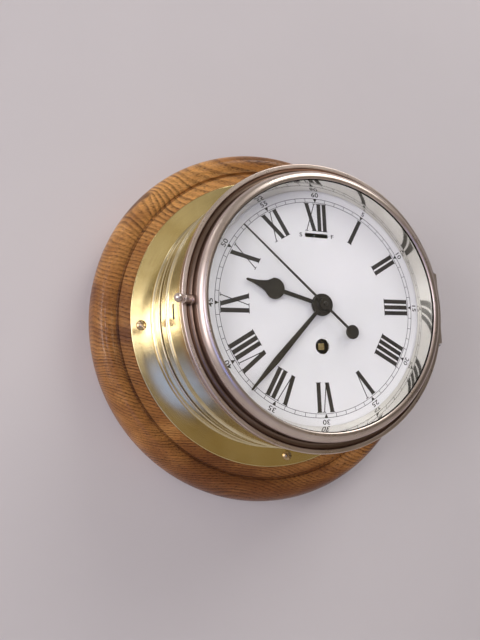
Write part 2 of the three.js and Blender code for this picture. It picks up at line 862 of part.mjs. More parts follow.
function pullKnob() {
  const barrelEnd = knobBarrelLength;
  const neckEnd = barrelEnd + knobNeckLength;
  const ballCentre = neckEnd + Math.sqrt(knobBallRadius ** 2 - knobNeckRadius ** 2);
  const ball = knobBallAngles.map((degrees) => {
    const [out, along] = polar(knobBallRadius, radians(degrees));
    return [out, ballCentre + along];
  });
  return knobLathe([
    [0, -knobShankLength],
    [knobShankRadius, -knobShankLength],
    [knobShankRadius, 0],
    [knobBarrelRadius - knobChamfer, 0],
    [knobBarrelRadius, knobChamfer],
    [knobBarrelRadius, barrelEnd - knobChamfer],
    [knobNeckRadius, barrelEnd],
    [knobNeckRadius, neckEnd],
    ...ball,
    [0, ballCentre + knobBallRadius],
  ], screwSteps);
}

// The spot face and threaded hole that take the knob's foot and shank.
function knobSocket() {
  const overrun = knobBarrelLength + knobNeckLength;
  return knobLathe([
    [0, -knobShankLength - seatGap],
    [knobShankRadius + seatGap, -knobShankLength - seatGap],
    [knobShankRadius + seatGap, -seatGap],
    [knobBarrelRadius + seatGap, -seatGap],
    [knobBarrelRadius + seatGap, overrun],
    [0, overrun],
  ], screwSteps);
}

// Hinge

// An upright round bar on the hinge's axis.
function hingeRod(radius, low, high, steps = screwSteps) {
  const bar = new THREE.CylinderGeometry(radius, radius, high - low, steps);
  bar.rotateX(Math.PI / 2);
  bar.translate(hingeAxisRight, -hingeAxisForward, (low + high) / 2);
  return solidOf(bar);
}

// The stretches of the hinge's length that belong to one leaf, as [low, high] pairs.
function knuckleSpans(first) {
  const pitch = hingeLength / hingeKnuckleCount;
  const spans = [];
  for (let i = first; i < hingeKnuckleCount; i += 2) {
    const low = -hingeLength / 2 + i * pitch;
    spans.push([low + hingeKnuckleGap / 2, low + pitch - hingeKnuckleGap / 2]);
  }
  return spans;
}

const hingeBore = () => hingeRod(hingeBoreRadius, -hingeLength, hingeLength);

function hingeLeafCase() {
  const wide = drumRadius + seatGap;
  const rearEnd = hingeAxisForward - caseLeafLength;
  const leafFront = hingeAxisForward - hingeKnuckleRadius - seatGap;
  const knuckles = knuckleSpans(0).map(([low, high]) => {
    const knuckle = hingeRod(hingeKnuckleRadius, low, high);
    const web = box(wide, hingeAxisRight, leafFront - hingeWebLength, hingeAxisForward, low, high);
    return joined(knuckle, web);
  });
  const half = hingeLength / 2 - hingeKnuckleGap / 2;
  const flush = Math.sqrt(wide ** 2 - hingeLeafHalfWidth ** 2) - hingeLeafThickness;
  const leaf = box(flush, wide + hingeLeafThickness, rearEnd, leafFront, -half, half);
  const seat = rod(wide, rearEnd - cutOverrun, bezelFront, 2 * caseSteps);
  return cutBy(joined(leaf, ...knuckles), seat, hingeBore());
}

function hingeLeafBezel() {
  const wide = bezelRimRadius + seatGap;
  const frontEnd = bezelRear + bezelLeafLength;
  const leafRear = hingeAxisForward + hingeKnuckleRadius + seatGap;
  const knuckles = knuckleSpans(1).map(([low, high]) => {
    const knuckle = hingeRod(hingeKnuckleRadius, low, high);
    const web = box(wide, hingeAxisRight, hingeAxisForward, leafRear + hingeWebLength, low, high);
    return joined(knuckle, web);
  });
  const half = hingeLength / 2 - hingeKnuckleGap / 2;
  const flush = Math.sqrt(wide ** 2 - hingeLeafHalfWidth ** 2) - hingeLeafThickness;
  const leaf = box(flush, wide + hingeLeafThickness, leafRear, frontEnd, -half, half);
  const seat = rod(wide, 0, frontEnd + cutOverrun, 2 * caseSteps);
  return cutBy(joined(leaf, ...knuckles), seat, hingeBore());
}

function hingePin() {
  const end = hingeLength / 2;
  const heads = [-1, 1].map((side) => {
    const near = side * (end + seatGap);
    const far = side * (end + seatGap + hingePinHeadHeight);
    return hingeRod(hingePinHeadRadius, Math.min(near, far), Math.max(near, far));
  });
  return joined(hingeRod(hingePinRadius, -end - hingePinHeadHeight, end + hingePinHeadHeight), ...heads);
}

// Hands, drawn pointing to twelve

// Mirrors one side of a hand's outline, given from root to tip as [half width, height] points.
function handOutline(side) {
  const right = side.map(([half, height]) => [half, height]);
  const left = side.map(([half, height]) => [-half, height]).reverse();
  return shapeOf([...right, ...left]);
}

function roundPlate(radius, station, thickness, steps = boreSteps, rise = 0) {
  return rod(radius, station, station + thickness, steps, 0, rise);
}

function hourHand() {
  const centre = hourHandBulbCentre;
  const bulb = hourHandBulbAngles.map((degrees) => {
    const angle = radians(degrees);
    return [hourHandBulbRadius * Math.cos(angle), centre + hourHandBulbRadius * Math.sin(angle)];
  });
  const spade = [
    [hourHandArmHalf, 0],
    [hourHandArmHalf, centre - hourHandBulbRadius],
    ...bulb,
    [hourHandNeckHalf, centre + hourHandNeckRise],
    [hourHandTaperHalf, centre + hourHandTaperRise],
    [hourHandTipHalf, hourHandLength - hourHandTipHalf],
    [hourHandTipHalf / 2, hourHandLength],
  ];
  const blade = slab(handOutline(spade), hourHandStation, hourHandStation + handThickness);
  const boss = roundPlate(hourHandBoss, hourHandStation, handThickness);
  const bore = rod(hourPipeRadius + seatGap, 0, bezelFront, boreSteps);
  return cutBy(joined(blade, boss), bore);
}

function minuteHand() {
  const lance = [
    [minuteHandRootHalf, 0],
    [minuteHandWideHalf, minuteHandWideAt],
    [minuteHandTipHalf, minuteHandLength - minuteHandTipHalf],
    [minuteHandTipHalf / 2, minuteHandLength],
  ];
  const blade = slab(handOutline(lance), minuteHandStation, minuteHandStation + handThickness);
  const boss = roundPlate(minuteHandBoss, minuteHandStation, handThickness);
  const bore = rod(cannonPipeRadius + seatGap, 0, bezelFront, boreSteps);
  return cutBy(joined(blade, boss), bore);
}

function handNut() {
  const top = collarNutStation + collarNutThickness;
  return tube(collarNutRadius, cannonPipeRadius + seatGap, collarNutStation, top);
}

function secondsHand() {
  const needle = [
    [secondsHandRootHalf, -secondsHandTail],
    [secondsHandRootHalf, 0],
    [secondsHandTipHalf, secondsHandLength],
  ];
  const top = secondsHandStation + handThickness;
  const blade = slab(handOutline(needle), secondsHandStation, top);
  const disc = roundPlate(secondsHandDisc, secondsHandStation, handThickness, boreSteps, -secondsHandTail);
  const boss = rod(secondsBossRadius, secondsHandStation, top + handThickness, boreSteps);
  const tip = rod(secondsTipRadius, top, top + secondsTipLength, arborSteps);
  const socket = rod(secondsArborRadius + seatGap, 0, top, arborSteps);
  return cutBy(joined(blade, disc, boss, tip), socket);
}

// Movement

const barrelPlace = [0, -windingHoleDrop];
const thirdPlace = polar(trainReach, radians(thirdArborAngle));
const escapePlace = polar(trainReach, radians(escapeArborAngle));
const minutePlace = polar(motionReach, radians(minuteArborAngle));
const balancePlace = [0, balanceRise];

// The intermediate arbor stands at its two centre distances from the barrel and from the centre.
function intermediateArborPlace() {
  const along = (trainReach ** 2 - barrelReach ** 2 + windingHoleDrop ** 2) / (2 * windingHoleDrop);
  const across = Math.sqrt(trainReach ** 2 - along ** 2);
  return [across, -along];
}
const intermediatePlace = intermediateArborPlace();

const angleTo = ([x, z], [toX, toZ]) => Math.atan2(toZ - z, toX - x);
const moduleOf = (reach, teeth, mateTeeth) => (2 * reach) / (teeth + mateTeeth);

// A wheel's outline with one tooth at the given angle, and its crossings as holes.
function wheelShape(teeth, module, toothAngle, crossings = 0, hubRadius = 0) {
  const pitchRadius = (teeth * module) / 2;
  const tip = pitchRadius + wheelAddendumShare * module;
  const root = pitchRadius - wheelDedendumShare * module;
  const points = [];
  for (let i = 0; i < teeth; i++) {
    points.push(polar(tip, toothAngle + (i * fullTurn) / teeth));
    points.push(polar(root, toothAngle + ((i + 0.5) * fullTurn) / teeth));
  }
  const shape = shapeOf(points);
  const outer = root - rimWidthShare * module;
  const halfWindow = Math.PI / crossings;
  for (let i = 0; i < crossings; i++) {
    const middle = 2 * i * halfWindow;
    const halfOut = halfWindow - spokeHalfWidth / outer;
    const halfIn = halfWindow - spokeHalfWidth / hubRadius;
    const rim = windowShares.map((share) => polar(outer, middle + share * halfOut));
    const hub = [1, -1].map((side) => polar(hubRadius, middle + side * halfIn));
    const corners = [...rim, ...hub].map(([x, y]) => new THREE.Vector2(x, y));
    shape.holes.push(new THREE.Path(corners));
  }
  return shape;
}

// A pinion's outline with one leaf at the given angle.
function pinionShape(leaves, module, leafAngle) {
  const pitchRadius = (leaves * module) / 2;
  const tip = pitchRadius + leafAddendumShare * module;
  const root = pitchRadius - leafDedendumShare * module;
  const step = fullTurn / leaves;
  const points = [];
  for (let i = 0; i < leaves; i++) {
    const middle = leafAngle + i * step;
    points.push(polar(root, middle - leafRootShare * step));
    points.push(polar(tip, middle - leafTipShare * step));
    points.push(polar(tip, middle + leafTipShare * step));
    points.push(polar(root, middle + leafRootShare * step));
  }
  return shapeOf(points);
}

// Where a tooth must point so that a wheel meets its mate tooth to gap.
const gapToward = (angle, teeth) => angle + Math.PI / teeth;

// The going barrel: an open drum with the great wheel cut on its front edge.
function barrel() {
  const rear = backPlateFront + barrelStation;
  const front = rear + barrelHeight;
  const shell = turnedRing([
    [barrelRadius - barrelWall, rear],
    [barrelRadius, rear],
    [barrelRadius, front],
    [barrelBoreRadius, front],
    [barrelBoreRadius, front - barrelWall],
    [barrelRadius - barrelWall, front - barrelWall],
  ], 2 * pipeSteps);
  const module = moduleOf(barrelReach, barrelTeeth, barrelPinionTeeth);
  const toothAngle = angleTo(barrelPlace, intermediatePlace);
  const teeth = slab(wheelShape(barrelTeeth, module, toothAngle), front - greatWheelThickness, front);
  const hollow = rod(barrelRadius - barrelWall / 2, rear - cutOverrun, front - barrelWall, boreSteps);
  const bore = rod(barrelBoreRadius, rear, front + cutOverrun, boreSteps);
  return joined(shell, cutBy(teeth, hollow, bore));
}

function barrelCover() {
  const rear = backPlateFront + barrelStation;
  const outer = barrelRadius - barrelWall - seatGap;
  return tube(outer, barrelBoreRadius, rear, rear + barrelCoverThickness, 2 * pipeSteps);
}

// A flat spiral strip, wound outwards at a steady pitch.
function spiral(turns, inner, pitch, thickness, from, to, stepsPerTurn) {
  const steps = turns * stepsPerTurn;
  const outside = [];
  const inside = [];
  for (let i = 0; i <= steps; i++) {
    const angle = (i / stepsPerTurn) * fullTurn;
    const radius = inner + (pitch * i) / stepsPerTurn;
    outside.push(polar(radius + thickness, angle));
    inside.push(polar(radius, angle));
  }
  return slab(shapeOf([...outside, ...inside.reverse()]), from, to);
}

function mainspring() {
  const from = backPlateFront + barrelStation + barrelCoverThickness + seatGap;
  const to = backPlateFront + barrelStation + barrelHeight - barrelWall - seatGap;
  const outer = barrelRadius - barrelWall - springThickness - 2 * seatGap;
  const pitch = (outer - springInnerRadius) / springTurns;
  return spiral(springTurns, springInnerRadius, pitch, springThickness, from, to, springStepsPerTurn);
}

const windingTip = dialFront - windingTipDrop;

function windingArbor() {
  const squareFrom = windingTip - windingSquareLength;
  const body = turned([
    [0, backPlateBack],
    [windingArborRadius / 2, backPlateBack],
    [windingArborRadius / 2, backPlateFront + seatGap],
    [windingArborRadius, backPlateFront + seatGap],
    [windingArborRadius, squareFrom],
    [0, squareFrom],
  ], boreSteps);
  const half = windingSquareHalf;
  const square = box(-half, half, squareFrom - cutOverrun, windingTip, -half, half);
  return joined(body, square);
}

// Saw teeth: a radial face, then a straight rise to the next tip.
function ratchetWheel() {
  const step = fullTurn / ratchetTeeth;
  const face = radians(clickFaceAngle);
  const points = [];
  for (let i = 0; i < ratchetTeeth; i++) {
    points.push(polar(ratchetRadius, face + i * step));
    points.push(polar(ratchetRootRadius, face + (i + ratchetUndercutShare) * step));
  }
  const from = frontPlateFront + seatGap;
  const wheel = slab(shapeOf(points), from, from + ratchetThickness);
  const bore = rod(windingArborRadius + seatGap, 0, bezelFront, boreSteps);
  return cutBy(wheel, bore);
}

const clickPivot = polar(clickReach, radians(clickPivotAngle));
const clickPlace = [barrelPlace[0] + clickPivot[0], barrelPlace[1] + clickPivot[1]];

// Drawn about its pivot; its beak rests in a tooth gap of the ratchet wheel.
function click() {
  const step = fullTurn / ratchetTeeth;
  const face = radians(clickFaceAngle);
  const fromPivot = ([x, y]) => [x - clickPivot[0], y - clickPivot[1]];
  const beakAngle = face + clickBeakShare * step;
  const beak = fromPivot(polar(ratchetRootRadius + clickBeakGap, beakAngle));
  const crown = fromPivot(polar(ratchetRootRadius + clickBeakGap + clickBeakDepth, beakAngle));
  const knee = fromPivot(polar(ratchetRadius + clickBeakGap, face + step));
  const from = frontPlateFront + seatGap;
  const outline = [beak, crown, [clickBossRadius, 0], [-clickBossRadius, 0], knee];
  const arm = slab(shapeOf(outline), from, from + clickThickness);
  const boss = rod(clickBossRadius, from, from + clickThickness, screwSteps);
  const bore = rod(clickPivotRadius + runningGap, 0, bezelFront, arborSteps);
  return cutBy(joined(arm, boss), bore);
}

// An arbor between the plates with a pivot at each end.
function arbor(radius = arborRadius) {
  return turned([
    [0, backPlateBack],
    [pivotRadius, backPlateBack],
    [pivotRadius, backPlateFront + seatGap],
    [radius, backPlateFront + seatGap],
    [radius, frontPlateBack - seatGap],
    [pivotRadius, frontPlateBack - seatGap],
    [pivotRadius, frontPlateFront],
    [0, frontPlateFront],
  ], arborSteps);
}

function toothedSlab(shape, station, thickness) {
  return slab(shape, backPlateFront + station, backPlateFront + station + thickness);
}

function intermediateWheel() {
  const wheelModule = moduleOf(trainReach, intermediateTeeth, centrePinionTeeth);
  const pinionModule = moduleOf(barrelReach, barrelTeeth, barrelPinionTeeth);
  const toCentre = angleTo(intermediatePlace, [0, 0]);
  const toBarrel = angleTo(intermediatePlace, barrelPlace);
  const hub = (barrelPinionTeeth * pinionModule) / 2;
  const wheel = wheelShape(intermediateTeeth, wheelModule, toCentre, wheelCrossings, hub);
  const pinion = pinionShape(barrelPinionTeeth, pinionModule, gapToward(toBarrel, barrelPinionTeeth));
  const pinionStation = barrelStation + barrelHeight - pinionRun;
  return joined(
    arbor(),
    toothedSlab(wheel, intermediateWheelStation, wheelThickness),
    toothedSlab(pinion, pinionStation, intermediateWheelStation - pinionStation + wheelThickness / 2),
  );
}

// The centre wheel and its pinion on a hollow arbor, which the seconds arbor runs through.
function centreWheel() {
  const pinionModule = moduleOf(trainReach, intermediateTeeth, centrePinionTeeth);
  const wheelModule = moduleOf(trainReach, centreTeeth, thirdPinionTeeth);
  const toIntermediate = angleTo([0, 0], intermediatePlace);
  const toThird = angleTo([0, 0], thirdPlace);
  const hub = (centrePinionTeeth * pinionModule) / 2;
  const wheel = wheelShape(centreTeeth, wheelModule, toThird, wheelCrossings, hub);
  const pinion = pinionShape(centrePinionTeeth, pinionModule, gapToward(toIntermediate, centrePinionTeeth));
  const from = backPlateFront + thirdWheelStation + pinionRun + runningGap;
  const pinionStation = intermediateWheelStation - wheelThickness / 2;
  const tip = minuteHandStation;
  const pipe = rod(centreArborRadius, from, tip, pipeSteps);
  const whole = joined(
    pipe,
    toothedSlab(wheel, centreWheelStation, wheelThickness),
    toothedSlab(pinion, pinionStation, centreWheelStation - pinionStation + wheelThickness / 2),
  );
  return cutBy(whole, rod(centreBoreRadius, 0, bezelFront, pipeSteps));
}

function thirdWheel() {
  const pinionModule = moduleOf(trainReach, centreTeeth, thirdPinionTeeth);
  const wheelModule = moduleOf(trainReach, thirdTeeth, fourthPinionTeeth);
  const toCentre = angleTo(thirdPlace, [0, 0]);
  const hub = thirdPinionTeeth * pinionModule;
  const wheel = wheelShape(thirdTeeth, wheelModule, toCentre, wheelCrossings, hub);
  const pinion = pinionShape(thirdPinionTeeth, pinionModule, gapToward(toCentre, thirdPinionTeeth));
  return joined(
    arbor(),
    toothedSlab(wheel, thirdWheelStation, wheelThickness),
    toothedSlab(pinion, centreWheelStation - wheelThickness / 2, pinionRun),
  );
}

// The fourth wheel turns once a minute and carries the long arbor of the seconds hand.
function fourthWheel() {
  const pinionModule = moduleOf(trainReach, thirdTeeth, fourthPinionTeeth);
  const wheelModule = moduleOf(trainReach, fourthTeeth, escapePinionTeeth);
  const toThird = angleTo([0, 0], thirdPlace);
  const toEscape = angleTo([0, 0], escapePlace);
  const hub = fourthPinionTeeth * pinionModule;
  const wheel = wheelShape(fourthTeeth, wheelModule, toEscape, wheelCrossings, hub);
  const pinion = pinionShape(fourthPinionTeeth, pinionModule, gapToward(toThird, fourthPinionTeeth));
  const pinionFrom = fourthWheelStation + wheelThickness / 2;
  const spindle = turned([
    [0, backPlateBack],
    [pivotRadius, backPlateBack],
    [pivotRadius, backPlateFront + seatGap],
    [secondsArborRadius, backPlateFront + seatGap],
    [secondsArborRadius, secondsHandStation + handThickness - seatGap],
    [0, secondsHandStation + handThickness - seatGap],
  ], arborSteps);
  return joined(
    spindle,
    toothedSlab(wheel, fourthWheelStation, wheelThickness),
    toothedSlab(pinion, pinionFrom, thirdWheelStation + pinionRun - pinionFrom),
  );
}

const motionModule = moduleOf(motionReach, minuteTeeth, cannonTeeth);
const hourModule = moduleOf(motionReach, hourTeeth, minutePinionTeeth);
const motionStation = frontPlateFront + 2 * seatGap;
const hourWheelStation = motionStation + pinionRun + wheelThickness;

function cannonPinion() {
  const toMinute = angleTo([0, 0], minutePlace);
  const leaves = pinionShape(cannonTeeth, motionModule, gapToward(toMinute, cannonTeeth));
  const pinion = slab(leaves, motionStation, motionStation + pinionRun);
  const pipe = rod(cannonPipeRadius, motionStation, collarNutStation + collarNutThickness, pipeSteps);
  const bore = rod(cannonBoreRadius, 0, bezelFront, pipeSteps);
  return cutBy(joined(pinion, pipe), bore);
}

function minuteWheel() {
  const toCentre = angleTo(minutePlace, [0, 0]);
  const wheelTeeth = wheelShape(minuteTeeth, motionModule, toCentre);
  const leaves = pinionShape(minutePinionTeeth, hourModule, gapToward(toCentre, minutePinionTeeth));
  const wheel = slab(wheelTeeth, motionStation, motionStation + wheelThickness);
  const pinion = slab(leaves, motionStation, hourWheelStation + pinionRun - seatGap);
  return cutBy(joined(wheel, pinion), rod(minuteBoreRadius, 0, bezelFront, pipeSteps));
}

function hourWheel() {
  const toMinute = angleTo([0, 0], minutePlace);
  const teeth = wheelShape(hourTeeth, hourModule, toMinute);
  const wheel = slab(teeth, hourWheelStation, hourWheelStation + wheelThickness);
  const pipe = rod(hourPipeRadius, hourWheelStation, hourHandStation + handThickness, pipeSteps);
  return cutBy(joined(wheel, pipe), rod(hourBoreRadius, 0, bezelFront, pipeSteps));
}

// Plates, pillars and posts

function postPlaces() {
  return postAngles.map((angle) => onClock(postCircle, angle));
}

function pillarPlaces() {
  return [[-1, 1], [1, 1], [1, -1], [-1, -1]].map(([x, z]) => [x * pillarSpread, z * pillarSpread]);
}

// Pivot and pillar holes shared by the two plates, over the given stations.
function plateHoles(from, to) {
  const bore = (radius, [x, z]) => rod(radius, from, to, arborSteps, x, z);
  const pivots = [intermediatePlace, thirdPlace].map((place) => bore(pivotRadius + runningGap, place));
  const pillars = pillarPlaces().map((place) => bore(pillarSpigotRadius + seatGap, place));
  return [...pivots, ...pillars];
}

function frontPlate() {
  const [from, to] = [frontPlateBack - cutOverrun, frontPlateFront + cutOverrun];
  const bore = (radius, [x, z]) => rod(radius, from, to, arborSteps, x, z);
  const plate = rod(frontPlateRadius, frontPlateBack, frontPlateFront, plateSteps);
  const posts = postPlaces().map((place) => bore(postSpigotRadius + seatGap, place));
  const feet = dialFootPlaces().map((place) => bore(dialFootRadius + seatGap, place));
  const pierced = cutBy(
    plate,
    ...plateHoles(from, to),
    ...posts,
    ...feet,
    rod(centreArborRadius + runningGap, from, to, boreSteps),
    rod(windingArborRadius + runningGap, from, to, boreSteps, ...barrelPlace),
    bore(arborRadius + runningGap, escapePlace),
  );
  const studEnd = hourWheelStation + pinionRun + seatGap;
  const minuteStud = rod(minuteStudRadius, frontPlateBack, studEnd, arborSteps, ...minutePlace);
  const clickStudEnd = frontPlateFront + 2 * seatGap + clickThickness;
  const clickStud = rod(clickPivotRadius, frontPlateBack, clickStudEnd, arborSteps, ...clickPlace);
  return joined(pierced, minuteStud, clickStud);
}

function backPlate() {
  const [from, to] = [backPlateBack - cutOverrun, backPlateFront + cutOverrun];
  const bore = (radius, [x, z]) => rod(radius, from, to, arborSteps, x, z);
  const plate = rod(backPlateRadius, backPlateBack, backPlateFront, plateSteps);
  return cutBy(
    plate,
    ...plateHoles(from, to),
    bore(pivotRadius + runningGap, [0, 0]),
    bore(windingArborRadius / 2 + runningGap, barrelPlace),
    bore(pivotRadius + runningGap, escapePlace),
  );
}

// A turned pillar: spigots through both plates and a waist between two collars.
function pillar() {
  const waistFrom = backPlateFront + pillarCollarLength;
  const waistTo = frontPlateBack - pillarCollarLength;
  return turned([
    [0, backPlateBack],
    [pillarSpigotRadius, backPlateBack],
    [pillarSpigotRadius, backPlateFront],
    [pillarRadius, backPlateFront],
    [pillarRadius, waistFrom - pillarTaper],
    [pillarWaistRadius, waistFrom],
    [pillarWaistRadius, waistTo],
    [pillarRadius, waistTo + pillarTaper],
    [pillarRadius, frontPlateBack],
    [pillarSpigotRadius, frontPlateBack],
    [pillarSpigotRadius, frontPlateFront + pillarNutHeight],
    [0, frontPlateFront + pillarNutHeight],
  ], arborSteps);
}

function pillarNut() {
  const top = frontPlateFront + pillarNutHeight;
  return tube(pillarNutRadius, pillarSpigotRadius + seatGap, frontPlateFront, top, nutSides);
}

// The movement hangs from the drum's ledge on posts, which pass through the plate and the ledge.
function movementPost() {
  const ledgeBack = dialBack - dialLedgeThickness;
  return turned([
    [0, frontPlateBack],
    [postSpigotRadius, frontPlateBack],
    [postSpigotRadius, frontPlateFront],
    [postRadius, frontPlateFront],
    [postRadius, ledgeBack],
    [postSpigotRadius, ledgeBack],
    [postSpigotRadius, dialBack - seatGap],
    [0, dialBack - seatGap],
  ], screwSteps);
}

// Escapement

// A flat outline with two round ends, each with its own radius.
function stadium(from, to, fromRadius, toRadius) {
  const along = angleTo(from, to);
  const outline = new THREE.Shape();
  outline.absarc(...from, fromRadius, along + Math.PI / 2, along + 1.5 * Math.PI);
  outline.absarc(...to, toRadius, along - Math.PI / 2, along + Math.PI / 2);
  return outline;
}

const cockFoot = [-cockFootLeft, balanceRise + cockFootRise];

const leverPlace = (() => {
  const toward = angleTo(escapePlace, balancePlace);
  return [escapePlace[0] + leverReach * Math.cos(toward), escapePlace[1] + leverReach * Math.sin(toward)];
})();

// The platform lies under the escape wheel, the lever and the balance, with the cock's foot on a lug.
function escapementPlatform() {
  const [from, to] = [frontPlateFront, frontPlateFront + platformThickness];
  const reach = escapeRadius + platformMargin;
  const bed = slab(stadium(escapePlace, balancePlace, reach / 2, reach), from, to);
  const lug = slab(stadium(balancePlace, cockFoot, reach / 2, cockHalfWidth), from, to);
  const foot = rod(cockHalfWidth, from, frontPlateFront + cockStation, boreSteps, ...cockFoot);
  const bore = (radius, [x, z]) => rod(radius, 0, bezelFront, arborSteps, x, z);
  const staffHoles = [leverPlace, balancePlace].map((place) => bore(pivotRadius + runningGap, place));
  return cutBy(joined(bed, lug, foot), bore(arborRadius + runningGap, escapePlace), ...staffHoles);
}

function escapeWheel() {
  const step = fullTurn / escapeTeeth;
  const points = [];
  for (let i = 0; i < escapeTeeth; i++) {
    points.push(polar(escapeRadius, i * step));
    points.push(polar(escapeRadius, (i + escapeTipShare) * step));
    points.push(polar(escapeRootRadius, (i + escapeHeelShare) * step));
  }
  const station = frontPlateFront + escapeStation;
  const wheel = slab(shapeOf(points), station, station + escapeThickness);
  const module = moduleOf(trainReach, fourthTeeth, escapePinionTeeth);
  const toCentre = angleTo(escapePlace, [0, 0]);
  const leaves = pinionShape(escapePinionTeeth, module, gapToward(toCentre, escapePinionTeeth));
  const pinion = toothedSlab(leaves, fourthWheelStation - wheelThickness / 2, pinionRun);
  const spindle = turned([
    [0, backPlateBack],
    [pivotRadius, backPlateBack],
    [pivotRadius, backPlateFront + seatGap],
    [arborRadius, backPlateFront + seatGap],
    [arborRadius, station + escapeThickness],
    [pivotRadius, station + escapeThickness],
    [pivotRadius, station + 2 * escapeThickness],
    [0, station + 2 * escapeThickness],
  ], arborSteps);
  return joined(spindle, wheel, pinion);
}

// Drawn about its staff with the fork pointing at the balance and the pallets at the escape wheel.
function palletLever() {
  const station = frontPlateFront + escapeStation;
  const fork = [
    [-leverArmHalf, 0],
    [leverArmHalf, 0],
    [leverArmHalf, leverForkReach - 2 * leverArmHalf],
    [2 * leverArmHalf, leverForkReach],
    [leverArmHalf / 2, leverForkReach - 2 * leverArmHalf],
    [-leverArmHalf / 2, leverForkReach - 2 * leverArmHalf],
    [-2 * leverArmHalf, leverForkReach],
    [-leverArmHalf, leverForkReach - 2 * leverArmHalf],
  ];
  const anchor = [
    [-palletReach, palletHalf],
    [-palletReach, -palletDrop],
    [-palletReach + 2 * palletHalf, -palletDrop],
    [-palletReach + 2 * palletHalf, -palletHalf],
    [palletReach - 2 * palletHalf, -palletHalf],
    [palletReach - 2 * palletHalf, -palletDrop],
    [palletReach, -palletDrop],
    [palletReach, palletHalf],
  ];
  const pieces = [fork, anchor].map((points) => slab(shapeOf(points), station, station + escapeThickness));
  const staffFrom = frontPlateFront + platformThickness / 2;
  const staff = rod(pivotRadius, staffFrom, station + 2 * escapeThickness, arborSteps);
  return joined(...pieces, staff);
}

// A two-arm balance with its staff and roller.
function balanceWheel() {
  const station = frontPlateFront + balanceStation;
  const bore = balanceRadius - balanceRimWidth;
  const rim = tube(balanceRadius, bore, station, station + wheelThickness, 2 * screwSteps);
  const reach = balanceRadius - balanceRimWidth / 2;
  const arms = box(-reach, reach, station, station + wheelThickness / 2, -balanceArmHalf, balanceArmHalf);
  const staffTo = frontPlateFront + cockStation + cockThickness / 2;
  const staff = rod(pivotRadius, frontPlateFront + platformThickness / 2, staffTo, arborSteps);
  const rollerFrom = frontPlateFront + escapeStation;
  const roller = rod(2 * pivotRadius, rollerFrom, rollerFrom + escapeThickness, screwSteps);
  return joined(rim, arms, staff, roller);
}

function hairspring() {
  const from = frontPlateFront + balanceStation + wheelThickness + seatGap;
  const to = from + hairspringHeight;
  const [turns, inner, pitch] = [hairspringTurns, hairspringInnerRadius, hairspringPitch];
  return spiral(turns, inner, pitch, hairspringThickness, from, to, springStepsPerTurn);
}

// The cock stands on the platform's foot and bridges over the balance to hold its front pivot.
function balanceCock() {
  const from = frontPlateFront + cockStation;
  const foot = [-cockFootLeft, cockFootRise];
  const bridge = slab(stadium([0, 0], foot, cockHalfWidth, cockHalfWidth), from, from + cockThickness);
  return cutBy(bridge, rod(pivotRadius + runningGap, 0, bezelFront, arborSteps));
}

// The index turns about the balance's axis; its pin shows through the slow-fast slot.
function regulatorIndex() {
  const from = frontPlateFront + cockStation + cockThickness + seatGap;
  const reach = slowFastRise - balanceRise;
  const arm = [
    [indexTailHalf, -indexTailLength],
    [indexTailHalf, 0],
    [indexArmHalf, reach + indexArmHalf],
  ];
  const blade = slab(handOutline(arm), from, from + indexThickness);
  const hub = roundPlate(indexHubRadius, from, indexThickness);
  const pin = rod(indexPinRadius, from, dialFront + seatGap, arborSteps, 0, reach);
  return joined(blade, hub, pin);
}

// Assembly

function buildCase() {
  place(caseGroup, "oak_plinth", oakPlinth(), oak());
  place(caseGroup, "hanger_plate", hangerPlate(), steel());
  hangerScrewPlaces().forEach(([x, z], i) => {
    place(caseGroup, "hanger_screw_" + (i + 1), hangerScrew(), steel(), x, z);
  });
  place(caseGroup, "base_flange", baseFlange(), yellowBrass());
  place(caseGroup, "base_collar", baseCollar(), yellowBrass());
  flangeScrewPlaces().forEach(([x, z], i) => {
    place(caseGroup, "flange_screw_" + (i + 1), flangeScrew(), darkBrass(), x, z, flangeScrewSlotTurn);
  });
  place(caseGroup, "drum", drum(), yellowBrass());
  place(caseGroup, "catch_spring", catchSpring(), steel());
  place(caseGroup, "dial", dial(), dialWhite());
  place(caseGroup, "hinge_leaf_case", hingeLeafCase(), yellowBrass());
  place(caseGroup, "hinge_pin", hingePin(), paleBrass());
}

function buildBezel() {
  place(bezelGroup, "bezel_ring", bezelRing(), paleBrass());
  place(bezelGroup, "glass", glass(), glassClear());
  place(bezelGroup, "sight_ring", sightRing(), silvered());
  place(bezelGroup, "pull_knob", pullKnob(), paleBrass());
  place(bezelGroup, "hinge_leaf_bezel", hingeLeafBezel(), paleBrass());
}

